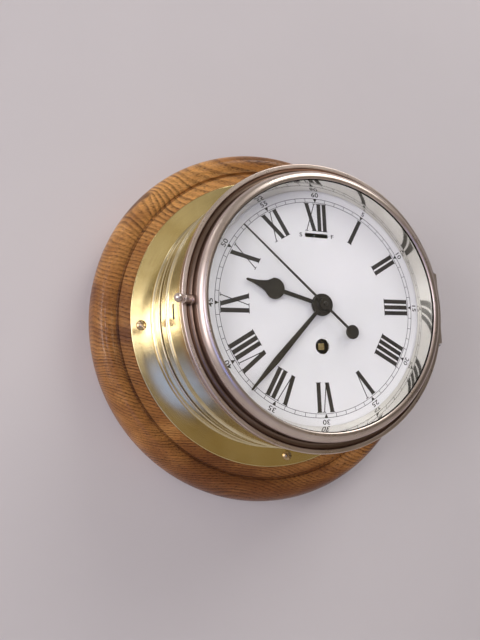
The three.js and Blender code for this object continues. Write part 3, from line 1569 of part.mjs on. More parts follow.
function buildMovement() {
  place(movementGroup, "front_plate", frontPlate(), plateBrass());
  place(movementGroup, "back_plate", backPlate(), plateBrass());
  pillarPlaces().forEach(([x, z], i) => {
    place(movementGroup, "pillar_" + (i + 1), pillar(), plateBrass(), x, z);
    place(movementGroup, "pillar_nut_" + (i + 1), pillarNut(), steel(), x, z);
  });
  postPlaces().forEach(([x, z], i) => {
    place(movementGroup, "movement_post_" + (i + 1), movementPost(), plateBrass(), x, z);
  });
  place(movementGroup, "barrel", barrel(), plateBrass(), ...barrelPlace);
  place(movementGroup, "barrel_cover", barrelCover(), plateBrass(), ...barrelPlace);
  place(movementGroup, "mainspring", mainspring(), steel(), ...barrelPlace);
  place(movementGroup, "winding_arbor", windingArbor(), plateBrass(), ...barrelPlace);
  place(movementGroup, "ratchet_wheel", ratchetWheel(), steel(), ...barrelPlace);
  place(movementGroup, "click", click(), steel(), ...clickPlace);
  place(movementGroup, "intermediate_wheel", intermediateWheel(), plateBrass(), ...intermediatePlace);
  place(movementGroup, "centre_wheel", centreWheel(), plateBrass());
  place(movementGroup, "third_wheel", thirdWheel(), plateBrass(), ...thirdPlace);
  place(movementGroup, "fourth_wheel", fourthWheel(), plateBrass());
  place(movementGroup, "cannon_pinion", cannonPinion(), steel());
  place(movementGroup, "minute_wheel", minuteWheel(), plateBrass(), ...minutePlace);
  place(movementGroup, "hour_wheel", hourWheel(), plateBrass());
}

function buildEscapement() {
  place(movementGroup, "escapement_platform", escapementPlatform(), plateBrass());
  place(movementGroup, "escape_wheel", escapeWheel(), steel(), ...escapePlace);
  const leverTurn = THREE.MathUtils.radToDeg(Math.PI / 2 - angleTo(leverPlace, balancePlace));
  place(movementGroup, "pallet_lever", palletLever(), steel(), ...leverPlace, leverTurn);
  place(movementGroup, "balance_wheel", balanceWheel(), plateBrass(), ...balancePlace);
  place(movementGroup, "hairspring", hairspring(), steel(), ...balancePlace);
  place(movementGroup, "balance_cock", balanceCock(), plateBrass(), ...balancePlace);
  place(movementGroup, "regulator_index", regulatorIndex(), steel(), ...balancePlace, indexRestAngle);
}

function buildHands() {
  place(handsGroup, "hour_hand", hourHand(), handBlack(), 0, 0, hourHandAngle);
  place(handsGroup, "minute_hand", minuteHand(), handBlack(), 0, 0, minuteHandAngle);
  place(handsGroup, "hand_nut", handNut(), handBlack());
  place(handsGroup, "seconds_hand", secondsHand(), handBlack(), 0, 0, secondsHandAngle);
}

buildCase();
buildBezel();
buildMovement();
buildEscapement();
buildHands();

export default clock;
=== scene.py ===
import bpy
import bmesh
import json
import math
from mathutils import Matrix, Vector

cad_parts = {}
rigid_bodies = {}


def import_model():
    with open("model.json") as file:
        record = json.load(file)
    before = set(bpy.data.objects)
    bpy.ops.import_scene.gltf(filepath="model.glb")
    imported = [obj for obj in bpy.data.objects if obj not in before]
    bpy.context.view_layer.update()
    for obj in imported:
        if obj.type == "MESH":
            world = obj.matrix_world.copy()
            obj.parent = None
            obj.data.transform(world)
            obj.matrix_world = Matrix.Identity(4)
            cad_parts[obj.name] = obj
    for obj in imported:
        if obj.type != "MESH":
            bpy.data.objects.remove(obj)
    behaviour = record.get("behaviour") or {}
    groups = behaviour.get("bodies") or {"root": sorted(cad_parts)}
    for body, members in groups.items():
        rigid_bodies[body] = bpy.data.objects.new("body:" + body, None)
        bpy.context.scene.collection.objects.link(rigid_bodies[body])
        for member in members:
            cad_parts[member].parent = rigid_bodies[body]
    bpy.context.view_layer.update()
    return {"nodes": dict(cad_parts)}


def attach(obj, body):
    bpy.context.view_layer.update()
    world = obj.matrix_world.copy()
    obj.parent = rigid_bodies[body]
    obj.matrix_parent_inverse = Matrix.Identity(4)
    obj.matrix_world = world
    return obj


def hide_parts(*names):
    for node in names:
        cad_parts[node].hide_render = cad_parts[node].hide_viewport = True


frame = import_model()
print("frame loaded")

# Drawing helpers. Sizes are in millimetres, and forward is towards the viewer, along -Y.

fullTurn = 2 * math.pi
perMetre = 1000
startSize = 0.001  # metres: the plane that is merged into a piece's first vertex
weldGap = 1e-6  # metres
fineWeldGap = 1e-7
overrun = 1.0  # how far a cutter stands past what it cuts
crispEdge = 0.2
brokenEdge = 0.25
easedEdge = 0.3
softEdge = 0.5
edgeSteps = 5  # facets in a rounded edge
turnSteps = 192
smoothAngle = 35
faceWeight = 90  # how far large faces rule the shading of the edges beside them
clockAxis = {"origin": (0, 0, 0), "axis": (0, -1, 0), "side": (1, 0, 0)}
replaced = set()  # the CAD nodes that a new piece stands for


def metres(*values):
    return Vector([value / perMetre for value in values])


def onClock(reach, degrees):  # x and z of a place at a clock angle
    return reach * math.sin(math.radians(degrees)), reach * math.cos(math.radians(degrees))


def clearSelection():
    if bpy.context.object and bpy.context.object.mode == "EDIT":
        bpy.ops.object.mode_set(mode="OBJECT")
    bpy.ops.object.select_all(action="DESELECT")


def selectOnly(piece):
    clearSelection()
    piece.select_set(True)
    bpy.context.view_layer.objects.active = piece


def rename(piece, name):
    piece.name = piece.data.name = name
    return piece


def applyPlace():
    bpy.ops.object.transform_apply(location=True, rotation=True, scale=True)


def beginPiece(name):  # one vertex at the origin, in edit mode
    clearSelection()
    bpy.ops.mesh.primitive_plane_add(size=startSize, location=(0, 0, 0))
    piece = rename(bpy.context.object, name)
    bpy.ops.object.mode_set(mode="EDIT")
    bpy.ops.mesh.select_mode(type="VERT")
    bpy.ops.mesh.select_all(action="SELECT")
    bpy.ops.mesh.merge(type="CENTER")
    return piece


def drawLine(points):  # moves the selected vertex to the first point, then extrudes it from point to point
    bpy.ops.transform.translate(value=points[0])
    for here, there in zip(points, points[1:]):
        bpy.ops.mesh.extrude_region_move(TRANSFORM_OT_translate={"value": there - here})


def pickCorners(corners):  # selects the vertices at the given places
    mesh = bmesh.from_edit_mesh(bpy.context.object.data)
    bpy.ops.mesh.select_all(action="DESELECT")
    for vertex in mesh.verts:
        if any((vertex.co - corner).length < weldGap for corner in corners):
            vertex.select_set(True)
    bmesh.update_edit_mesh(bpy.context.object.data)


def tidyMesh(gap=weldGap):
    bpy.ops.mesh.select_all(action="SELECT")
    bpy.ops.mesh.remove_doubles(threshold=gap)
    bpy.ops.mesh.normals_make_consistent(inside=False)


def turnPiece(name, profile, steps=turnSteps, closed=False, lathe=clockAxis):
    # A profile point is radius, place along the axis and, if wanted, the radius of its rounding.
    origin, axis, side = (Vector(lathe[key]) for key in ("origin", "axis", "side"))
    where = [metres(*origin) + axis * point[1] / perMetre + side * point[0] / perMetre for point in profile]
    piece = beginPiece(name)
    drawLine(where + where[:1] if closed else where)
    bpy.ops.mesh.select_all(action="SELECT")
    bpy.ops.mesh.remove_doubles(threshold=fineWeldGap)
    for radius in sorted({point[2] for point in profile if len(point) > 2}):
        pickCorners([spot for spot, point in zip(where, profile) if len(point) > 2 and point[2] == radius])
        bpy.ops.mesh.bevel(affect="VERTICES", offset=radius / perMetre, segments=edgeSteps)
    bpy.ops.mesh.select_all(action="SELECT")
    bpy.ops.mesh.spin(steps=steps, angle=fullTurn, center=metres(*origin), axis=axis)
    tidyMesh()
    bpy.ops.object.mode_set(mode="OBJECT")
    return piece


def drawOutline(points, back, front):  # a flat outline of (x, z) points, made solid from back to front
    where = [metres(x, -back, z) for x, z in points]
    drawLine(where + where[:1])
    bpy.ops.mesh.select_linked()
    bpy.ops.mesh.remove_doubles(threshold=fineWeldGap)
    bpy.ops.mesh.edge_face_add()
    bpy.ops.mesh.extrude_region_move(TRANSFORM_OT_translate={"value": metres(0, back - front, 0)})


def platePiece(name, outlines, back, front):
    piece = beginPiece(name)
    for number, points in enumerate(outlines):
        if number:  # a further vertex to start from
            bpy.ops.mesh.primitive_plane_add(size=startSize, location=(0, 0, 0))
            bpy.ops.mesh.merge(type="CENTER")
        drawOutline(points, back, front)
    tidyMesh()
    bpy.ops.object.mode_set(mode="OBJECT")
    return piece


def applyModifier(piece, kind, **settings):
    selectOnly(piece)
    modifier = piece.modifiers.new(kind.title(), kind)
    for key, value in settings.items():
        setattr(modifier, key, value)
    bpy.ops.object.modifier_apply(modifier=modifier.name)


def softenEdges(piece, width, segments, angle):
    applyModifier(piece, "BEVEL", width=width / perMetre, segments=segments,
                  limit_method="ANGLE", angle_limit=math.radians(angle))


def combine(operation, piece, others):  # the others are used up
    for other in others:
        applyModifier(piece, "BOOLEAN", object=other, operation=operation, solver="EXACT")
        bpy.data.objects.remove(other)


def cutOut(piece, *cutters):
    combine("DIFFERENCE", piece, cutters)


def joinTo(piece, *others):  # welds overlapping solids into one
    combine("UNION", piece, others)


def boreTool(radius, back, front, x=0, z=0, sides=48):
    profile = [(0, back), (radius, back), (radius, front), (0, front)]
    return turnPiece("tool", profile, sides, lathe={**clockAxis, "origin": (x, 0, z)})


def blockTool(low, high):  # a block between two corners given as x, forward, z
    size = [abs(b - a) for a, b in zip(low, high)]
    x, forward, z = [(a + b) / 2 for a, b in zip(low, high)]
    clearSelection()
    bpy.ops.mesh.primitive_cube_add(size=1, location=metres(x, -forward, z), scale=metres(*size))
    applyPlace()
    return bpy.context.object


def finishPiece(piece, body, slot, node=None, smooth=smoothAngle, finish=None):
    # The finish is the slot's own unless another is named. A flat-sided piece has no smoothing.
    if smooth:
        selectOnly(piece)
        bpy.ops.object.shade_smooth_by_angle(angle=math.radians(smooth))
        applyModifier(piece, "WEIGHTED_NORMAL", keep_sharp=True, weight=faceWeight)
    piece.data.materials.clear()
    piece.data.materials.append(finishes[finish or slot])
    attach(piece, body)
    if node:
        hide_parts(node)
        replaced.add(node)


def copyPiece(piece, name, turn, shift):  # a copy with its own mesh, turned clockwise about the clock's axis
    selectOnly(piece)
    bpy.ops.object.duplicate(linked=False)
    twin = rename(bpy.context.object, name)
    twin.rotation_euler = (0, math.radians(turn), 0)
    twin.location = metres(*shift)
    applyPlace()
    return twin


def arcPoints(centre, radii, start, end, count):  # points of an elliptical arc, angles in degrees
    spots = []
    for step in range(count + 1):
        angle = math.radians(start + (end - start) * step / count)
        spots.append((centre[0] + radii[0] * math.cos(angle), centre[1] + radii[1] * math.sin(angle)))
    return spots


def roundEnded(first, second, radius, start, count):  # a slot's outline, from the centres of its two ends
    half = arcPoints(first, (radius, radius), start, start + 180, count)
    return half + arcPoints(second, (radius, radius), start + 180, start + 360, count)


def splinePlace(t, a, b, c, d):  # between b and c, with a before and d after them
    square = 2 * a - 5 * b + 4 * c - d
    cube = 3 * b - a - 3 * c + d
    return 0.5 * (2 * b + (c - a) * t + square * t ** 2 + cube * t ** 3)


def smoothCurve(points, count):  # rounds a run of points with a soft spline
    spots = []
    padded = [points[0], *points, points[-1]]
    for run in zip(padded, padded[1:], padded[2:], padded[3:]):
        for step in range(count):
            spots.append(tuple(splinePlace(step / count, *parts) for parts in zip(*run)))
    return spots + [points[-1]]


# Material helpers. Places and reaches in a look are in metres.

noiseSpan = (0.3, 0.7)  # where most of a noise's values lie
noiseMiddle = (0.5, 0.5, 0.5)
fineRelief = 0.00002  # metres


def addNode(tree, kind, inputs=None, **settings):
    made = tree.nodes.new("ShaderNode" + kind)
    for key, value in settings.items():
        setattr(made, key, value)
    for key, value in (inputs or {}).items():
        if isinstance(value, bpy.types.NodeSocket):
            tree.links.new(value, made.inputs[key])
        else:
            made.inputs[key].default_value = value
    return made


def newMaterial(name, **values):
    material = bpy.data.materials.new(name)
    material.use_nodes = True
    tree = material.node_tree
    shader = tree.nodes["Principled BSDF"]
    for key, value in values.items():
        shader.inputs[key.replace("_", " ")].default_value = value
    return material, tree, shader


def objectPlace(tree):
    return addNode(tree, "TexCoord").outputs["Object"]


def stretched(tree, vector, scale, location=(0, 0, 0), rotation=(0, 0, 0), kind="POINT"):
    turn = [math.radians(angle) for angle in rotation]
    inputs = {"Vector": vector, "Location": location, "Rotation": turn, "Scale": scale}
    return addNode(tree, "Mapping", inputs, vector_type=kind).outputs["Vector"]


def noise(tree, vector, scale, detail, rough):
    inputs = {"Vector": vector, "Scale": scale, "Detail": detail, "Roughness": rough}
    return addNode(tree, "TexNoise", inputs).outputs["Fac"]


def maths(tree, operation, *values):
    return addNode(tree, "Math", dict(enumerate(values)), operation=operation).outputs[0]


def vectorMaths(tree, operation, inputs):
    made = addNode(tree, "VectorMath", inputs, operation=operation)
    return made.outputs["Value" if operation in ("LENGTH", "DOT_PRODUCT") else "Vector"]


def split(tree, vector):
    return addNode(tree, "SeparateXYZ", {"Vector": vector}).outputs


def gather(tree, **parts):
    return addNode(tree, "CombineXYZ", parts).outputs[0]


def mapRange(tree, value, span, low=0.0, high=1.0, kind="LINEAR"):
    inputs = {"Value": value, "From Min": span[0], "From Max": span[1], "To Min": low, "To Max": high}
    return addNode(tree, "MapRange", inputs, interpolation_type=kind).outputs[0]


def withAlpha(colour):
    return (*colour, 1) if isinstance(colour, tuple) else colour


def ramp(tree, value, stops):  # stops are (position, grey or colour)
    made = addNode(tree, "ValToRGB", {"Fac": value})
    band = made.color_ramp
    while len(band.elements) < len(stops):
        band.elements.new(0.5)
    for element, (position, colour) in zip(band.elements, stops):
        element.position = position
        element.color = withAlpha(colour if isinstance(colour, tuple) else (colour,) * 3)
    return made.outputs["Color"]


def fade(tree, value, span, first, second):
    return ramp(tree, value, [(span[0], first), (span[1], second)])


def blendColours(tree, share, first, second, kind="MIX"):
    inputs = {0: share, 6: withAlpha(first), 7: withAlpha(second)}
    return addNode(tree, "Mix", inputs, data_type="RGBA", blend_type=kind).outputs[2]


def setColour(tree, shader, colour):
    tree.links.new(colour, shader.inputs["Base Color"])


def setRoughness(tree, shader, value, span, rough):
    tree.links.new(mapRange(tree, value, span, *rough), shader.inputs["Roughness"])


def bump(tree, shader, height, strength, distance=fineRelief, sockets=("Normal",)):
    made = addNode(tree, "Bump", {"Height": height, "Strength": strength, "Distance": distance})
    for socket in sockets:
        tree.links.new(made.outputs["Normal"], shader.inputs[socket])


def letThrough(tree, shader, share):  # clear where the share is one
    clear = addNode(tree, "BsdfTransparent").outputs[0]
    mix = addNode(tree, "MixShader", {0: share, 1: shader.outputs[0], 2: clear})
    tree.links.new(mix.outputs[0], tree.nodes["Material Output"].inputs["Surface"])


def latheCoords(tree):  # radius and depth from the clock's axis, so that noise on it makes turning rings
    apart = split(tree, objectPlace(tree))
    radius = vectorMaths(tree, "LENGTH", {0: gather(tree, X=apart["X"], Z=apart["Z"])})
    return gather(tree, X=radius, Y=apart["Y"])


# Camera and stage. Places are in metres, the lens and sensor in millimetres.

cameraSetup = {
    "position": (-0.1601, -0.3792, -0.0488),
    "right": (0.93607, -0.35030, -0.03254),
    "up": (-0.01511, -0.13244, 0.99108),
    "back": (-0.35148, -0.92723, -0.12927),
    "lens": 27.77,
    "sensor": 36.0,
    "nearest": 0.01,
}

bpy.ops.object.camera_add()
camera = bpy.context.object
camera.data.lens = cameraSetup["lens"]
camera.data.sensor_width = cameraSetup["sensor"]
camera.data.clip_start = cameraSetup["nearest"]
axes = [Vector(cameraSetup[key]) for key in ("right", "up", "back")]
camera.matrix_world = Matrix.Translation(cameraSetup["position"]) @ Matrix(axes).transposed().to_4x4()
bpy.context.scene.camera = camera

stageSetup = {
    "size": 6.0, "wallGap": 0.0004, "floorDrop": 1.1,
    "gapReach": 5,  # light passes the wall on its way to the plinth's back, up to so many gaps
    "wallColour": (0.62, 0.585, 0.58),
    "floorColour": (0.66, 0.64, 0.62),
    "paler": 1.04, "mottle": (3.0, 4.0, 0.6), "rough": 0.9,
    "backdrop": (0.60, 0.58, 0.575),
    # The surroundings that the brass mirrors, from underfoot to overhead
    "sky": [(0.25, (0.045, 0.034, 0.028)), (0.5, (0.125, 0.110, 0.098)), (0.85, (0.28, 0.26, 0.235))],
}
lamps = {
    "key": {"place": (0.95, -1.25, 1.75), "aim": (0, -0.08, 0), "size": (1.2, 1.2),
            "watts": 20, "colour": (1.0, 0.985, 0.965)},
    "side": {"place": (-1.22, -0.95, 0.12), "aim": (0, -0.06, 0), "size": (0.36, 0.60),
             "watts": 4.6, "colour": (0.97, 0.96, 1.0)},
    "spot": {"place": (-0.46, -1.85, 0.20), "aim": (0, -0.08, 0), "size": (0.42, 0.30),
             "watts": 2.5, "colour": (0.96, 0.96, 1.18)},
    "back": {"place": (-0.5, 1.6, 1.2), "aim": (0, 0, 0), "size": (1.2, 1.2),
             "watts": 16, "colour": (1.0, 0.98, 0.96)},
}
# Soft patches of light in the surroundings: the way to each, how wide it is in degrees, and its colour
patches = {
    "left": {"way": (-0.85, -0.48, 0.30), "full": 12, "fade": 62, "colour": (0.24, 0.22, 0.205)},
    "window": {"way": (-0.84, -0.53, 0.02), "full": 10, "fade": 40, "colour": (1.05, 1.0, 1.10)},
    "low": {"way": (-0.90, -0.35, -0.35), "full": 8, "fade": 32, "colour": (0.55, 0.50, 0.54)},
    "front": {"way": (0.17, -0.94, 0.27), "full": 3, "fade": 14, "colour": (0.33, 0.28, 0.18)},
    "blue": {"way": (-0.065, -0.985, -0.155), "full": 5, "fade": 10, "colour": (0.46, 0.74, 2.3)},
    "lamp": {"way": (0.165, -0.977, 0.130), "full": 0.3, "fade": 3.6, "colour": (4.5, 4.4, 4.8)},
    "high": {"way": (-0.61, -0.235, 0.755), "full": 2, "fade": 8, "colour": (3.2, 3.2, 3.3)},
    "olive": {"way": (0.33, -0.93, -0.14), "full": 6, "fade": 20, "colour": (0.17, 0.12, 0.04)},
}


def stageMaterial(name, colour):
    material, tree, shader = newMaterial(name, Roughness=stageSetup["rough"])
    mottle = noise(tree, objectPlace(tree), *stageSetup["mottle"])
    pale = tuple(min(1.0, part * stageSetup["paler"]) for part in colour)
    setColour(tree, shader, fade(tree, mottle, noiseSpan, colour, pale))
    return material


def openBack(tree):  # so that the clock's back can be looked at, and light reaches it through the thin gap
    behind = addNode(tree, "NewGeometry").outputs["Backfacing"]
    reach = stageSetup["wallGap"] * stageSetup["gapReach"]
    inGap = maths(tree, "LESS_THAN", addNode(tree, "LightPath").outputs["Ray Length"], reach)
    letThrough(tree, tree.nodes["Principled BSDF"], maths(tree, "MAXIMUM", behind, inGap))


def addStage(stage):
    clearSelection()
    size, gap, drop = stage["size"], stage["wallGap"], stage["floorDrop"]
    upright = (math.pi / 2, 0, 0)
    bpy.ops.mesh.primitive_plane_add(size=size, location=(0, gap, size / 2 - drop), rotation=upright)
    wall = bpy.context.object
    wall.name = "wall"
    wall.data.materials.append(stageMaterial("paleWall", stage["wallColour"]))
    openBack(wall.data.materials[0].node_tree)
    bpy.ops.mesh.primitive_plane_add(size=size, location=(0, 0, -drop))
    floor = bpy.context.object
    floor.name = "floor"
    floor.data.materials.append(stageMaterial("paleFloor", stage["floorColour"]))


def addLamp(name, look):
    bpy.ops.object.light_add(type="AREA", location=look["place"])
    lamp = bpy.context.object
    lamp.name = name + "Lamp"
    lamp.data.shape = "RECTANGLE"
    lamp.data.size, lamp.data.size_y = look["size"]
    lamp.data.energy = look["watts"]
    lamp.data.color = look["colour"]
    lamp.rotation_euler = (Vector(look["aim"]) - Vector(look["place"])).to_track_quat("-Z", "Y").to_euler()


def addWorld(stage):
    world = bpy.data.worlds.new("studio")
    bpy.context.scene.world = world
    world.use_nodes = True
    tree = world.node_tree
    way = addNode(tree, "TexCoord").outputs["Generated"]
    light = ramp(tree, mapRange(tree, split(tree, way)["Z"], (-1.0, 1.0)), stage["sky"])
    for patch in patches.values():
        near = vectorMaths(tree, "DOT_PRODUCT", {0: way, 1: Vector(patch["way"]).normalized()})
        span = [math.cos(math.radians(patch[key])) for key in ("fade", "full")]
        share = mapRange(tree, near, span, kind="SMOOTHSTEP")
        glow = vectorMaths(tree, "SCALE", {0: patch["colour"], "Scale": share})
        light = vectorMaths(tree, "ADD", {0: light, 1: glow})
    seen = addNode(tree, "LightPath").outputs["Is Camera Ray"]  # the camera sees a plain backdrop
    light = blendColours(tree, seen, light, stage["backdrop"])
    tree.links.new(light, tree.nodes["Background"].inputs["Color"])


addStage(stageSetup)
for lampName, lampLook in lamps.items():
    addLamp(lampName, lampLook)
addWorld(stageSetup)
bpy.context.scene.view_settings.view_transform = "Standard"
print("camera, stage and lamps set")

# Finishes

oakLook = {
    "coat": {"Coat_Weight": 0.38, "Coat_Roughness": 0.12, "Specular_IOR_Level": 0.08},
    # The heart of the tree, in front of the plinth and near its top, is brought to zero
    "treeAxis": (0.0, 0.050, -0.135),
    "treeTilt": (0, -12.0, 6.0),
    "rings": 750.0,
    "crowding": 1.6,
    # Noises that push the rings about: stretch, how far and detail
    "waver": ((9, 20, 20), 0.026, 1.0),
    "ripple": ((40, 110, 110), 0.0022, 2.0),
    "knotBend": ((45, 45, 45), 0.016, 1.0),
    "knot": {"place": (-0.108, -0.027, 0.0855), "turn": (0, -40.0, 0), "shape": (2.1, 1.0, 0.75),
             "reach": 0.030, "push": 0.012, "heart": 0.0065, "heartEdge": 1.6},
    # Noises of the tones: stretch, detail and roughness
    "noises": {"patch": ((10, 26, 26), 2.0, 0.5), "dash": ((420, 2600, 2600), 1.0, 0.4),
               "hue": ((8, 20, 20), 3.0, 0.6), "fibre": ((70, 1100, 1100), 3.0, 0.6)},
    "year": (120.0, 2.0, 0.6),
    # How dark the early wood is across one ring, and where it is fainter
    "early": [(0.0, 0.8), (0.12, 1.0), (0.32, 0.62), (0.60, 0.14), (0.88, 0.0), (1.0, 0.8)],
    "yearSpan": (0.38, 0.56), "yearLow": 0.35, "patchSpan": (0.32, 0.54), "patchLow": 0.45,
    "dashSpan": (0.38, 0.60), "dashLow": 0.70,
    "paintedLightRise": 0.75,  # painted light: the top of the plinth is lighter and yellower, as if lit from above
    "tones": [(0.36, (0.235, 0.085, 0.026)), (0.48, (0.46, 0.200, 0.056)), (0.64, (0.76, 0.380, 0.115))],
    "fibreTones": (0.72, 1.10),
    "lineDepth": 0.95, "heartDepth": 0.80,
    "dark": (0.070, 0.022, 0.008),
    "pore": (0.050, 0.018, 0.008),
    "poreSpan": (0.54, 0.62), "poreInEarly": 0.45, "poreAnywhere": 0.30,
    "rough": (0.38, 0.62), "lineRelief": 0.35, "bump": 0.5, "relief": 0.0002,
}


def pushedBy(tree, vector, stretch, amount, detail):  # the vector moved about by a noise
    place = stretched(tree, objectPlace(tree), stretch)
    drift = addNode(tree, "TexNoise", {"Vector": place, "Scale": 1.0, "Detail": detail}).outputs["Color"]
    centred = vectorMaths(tree, "SUBTRACT", {0: drift, 1: noiseMiddle})
    return vectorMaths(tree, "ADD", {0: vector, 1: vectorMaths(tree, "SCALE", {0: centred, "Scale": amount})})


def oakFinish(look):
    material, tree, shader = newMaterial("oiledOak", **look["coat"])
    place = objectPlace(tree)
    wavy = stretched(tree, place, (1, 1, 1), look["treeAxis"], look["treeTilt"])
    for drift in ("waver", "ripple"):
        wavy = pushedBy(tree, wavy, *look[drift])
    apart = split(tree, wavy)
    distance = vectorMaths(tree, "LENGTH", {0: gather(tree, Y=apart["Y"], Z=apart["Z"])})
    # The rings bend round a knot
    knot = look["knot"]
    bent = pushedBy(tree, place, *look["knotBend"])
    inKnot = stretched(tree, bent, knot["shape"], knot["place"], knot["turn"], "TEXTURE")
    away = vectorMaths(tree, "LENGTH", {0: inKnot})
    near = mapRange(tree, away, (knot["reach"], 0.0), kind="SMOOTHSTEP")
    distance = maths(tree, "MULTIPLY_ADD", near, knot["push"], distance)
    crowded = maths(tree, "POWER", distance, look["crowding"])
    early = ramp(tree, maths(tree, "FRACT", maths(tree, "MULTIPLY", crowded, look["rings"])), look["early"])
    grain = {name: noise(tree, stretched(tree, place, stretch), 1.0, detail, rough)
             for name, (stretch, detail, rough) in look["noises"].items()}
    grain["year"] = noise(tree, gather(tree, X=distance), *look["year"])
    lines = early
    for name in ("year", "patch", "dash"):
        force = fade(tree, grain[name], look[name + "Span"], look[name + "Low"], 1.0)
        lines = maths(tree, "MULTIPLY", lines, force)
    # painted light: the tone rises with height, added to a random tone
    hue = maths(tree, "MULTIPLY_ADD", split(tree, place)["Z"], look["paintedLightRise"], grain["hue"])
    fibres = fade(tree, grain["fibre"], noiseSpan, *look["fibreTones"])
    ground = blendColours(tree, 1.0, ramp(tree, hue, look["tones"]), fibres, "MULTIPLY")
    heart = mapRange(tree, away, (knot["heart"] * knot["heartEdge"], knot["heart"]), kind="SMOOTHSTEP")
    darkness = maths(tree, "MAXIMUM", maths(tree, "MULTIPLY", lines, look["lineDepth"]),
                     maths(tree, "MULTIPLY", heart, look["heartDepth"]))
    grown = blendColours(tree, darkness, ground, look["dark"])
    pits = fade(tree, grain["dash"], look["poreSpan"], 0.0, 1.0)
    poreShare = maths(tree, "MULTIPLY_ADD", early, look["poreInEarly"], look["poreAnywhere"])
    pored = maths(tree, "MULTIPLY", pits, poreShare)
    setColour(tree, shader, blendColours(tree, pored, grown, look["pore"]))
    setRoughness(tree, shader, pored, (0.0, 1.0), look["rough"])
    relief = maths(tree, "SUBTRACT", 1.0, maths(tree, "MULTIPLY_ADD", lines, look["lineRelief"], pored))
    bump(tree, shader, relief, look["bump"], look["relief"], ("Normal", "Coat Normal"))
    return material


metalWork = {
    "cloud": (3.0, 0.6), "cloudSpan": (0.32, 0.62), "marks": (2.0, 0.7), "marksSpan": (0.35, 0.65),
    "smear": (4.0, 0.6), "marksShare": 0.35,
    "lineScale": 1.0, "cloudScale": 30.0, "smearScale": 60.0, "bump": 0.06,
}
metalLook = {
    "yellow_brass": {
        "light": (0.83, 0.70, 0.38), "dark": (0.70, 0.56, 0.26), "lineTone": 0.10, "lineScale": 2600.0,
        "cloudScale": 26.0, "rough": (0.11, 0.20)},
    "drum_brass": {
        "light": (0.86, 0.77, 0.54), "dark": (0.76, 0.65, 0.40), "lineTone": 0.12, "lineScale": 1800.0,
        "rough": (0.10, 0.18)},
    "pale_brass": {
        "light": (0.72, 0.62, 0.56), "dark": (0.60, 0.49, 0.43), "lineTone": 0.08, "lineScale": 1500.0,
        "cloudScale": 24.0, "rough": (0.25, 0.34), "bump": 0.05,
        # painted shade: the cove tones darken the bezel's hollow towards its bottom
        "cove": {"reach": (0.0898, 0.0902), "depth": (0.1065, 0.1155), "tones": [
            (0.0, (0.28, 0.235, 0.195)), (0.10, (0.38, 0.32, 0.28)), (0.22, (0.66, 0.59, 0.54)),
            (0.55, (0.84, 0.78, 0.77)), (1.0, (1.0, 1.0, 1.0))]}},
    "silvered_brass": {
        "light": (0.83, 0.81, 0.74), "dark": (0.76, 0.73, 0.65), "lineTone": 0.06, "lineScale": 1400.0,
        "smearScale": 70.0, "rough": (0.05, 0.10)},
    "plate_brass": {
        "grain": (40, 40, 900), "light": (0.72, 0.58, 0.28), "dark": (0.58, 0.44, 0.18), "lineTone": 0.16,
        "cloudScale": 40.0, "smearScale": 90.0, "rough": (0.26, 0.42), "bump": 0.15},
    "screw_brass": {
        "grain": (700, 700, 700), "light": (0.74, 0.56, 0.33), "dark": (0.42, 0.29, 0.16), "lineTone": 0.2,
        "cloudScale": 320.0, "smearScale": 300.0, "rough": (0.15, 0.30), "bump": 0.2},
    "dark_brass": {
        "grain": (700, 700, 700), "light": (0.36, 0.28, 0.17), "dark": (0.17, 0.12, 0.07), "lineTone": 0.25,
        "cloudScale": 260.0, "smearScale": 300.0, "rough": (0.24, 0.45), "bump": 0.2},
    "steel": {
        "grain": (300, 300, 1500), "light": (0.52, 0.53, 0.55), "dark": (0.38, 0.38, 0.40), "lineTone": 0.15,
        "cloudScale": 120.0, "smearScale": 200.0, "rough": (0.22, 0.40), "bump": 0.15},
}


def coveShade(tree, cove):  # painted shade in the bezel's hollow: darkest at the cove's bottom, lighter up towards the bead
    apart = split(tree, latheCoords(tree))
    rim = mapRange(tree, apart["X"], cove["reach"])
    rise = mapRange(tree, maths(tree, "MULTIPLY", apart["Y"], -1.0), cove["depth"])
    return blendColours(tree, rim, ramp(tree, rise, cove["tones"]), (1.0, 1.0, 1.0))


def metalFinish(name, ownLook):  # two tones of clouding, fine turning or brushing lines and uneven polish
    look = {**metalWork, **ownLook}
    material, tree, shader = newMaterial(name, Metallic=1.0)
    place = objectPlace(tree)
    lines = stretched(tree, place, look["grain"]) if "grain" in look else latheCoords(tree)
    cloud = noise(tree, place, look["cloudScale"], *look["cloud"])
    tone = fade(tree, cloud, look["cloudSpan"], look["dark"], look["light"])
    marks = noise(tree, lines, look["lineScale"], *look["marks"])
    shade = fade(tree, marks, look["marksSpan"], 1 - look["lineTone"], 1.0)
    tone = blendColours(tree, 1.0, tone, shade, "MULTIPLY")
    # painted shade in the bezel's cove, where a look has one
    if "cove" in look:
        tone = blendColours(tree, 1.0, tone, coveShade(tree, look["cove"]), "MULTIPLY")
    setColour(tree, shader, tone)
    smear = noise(tree, place, look["smearScale"], *look["smear"])
    smearPart = maths(tree, "MULTIPLY", smear, 1 - look["marksShare"])
    polish = maths(tree, "MULTIPLY_ADD", marks, look["marksShare"], smearPart)
    setRoughness(tree, shader, polish, noiseSpan, look["rough"])
    bump(tree, shader, marks, look["bump"])
    return material


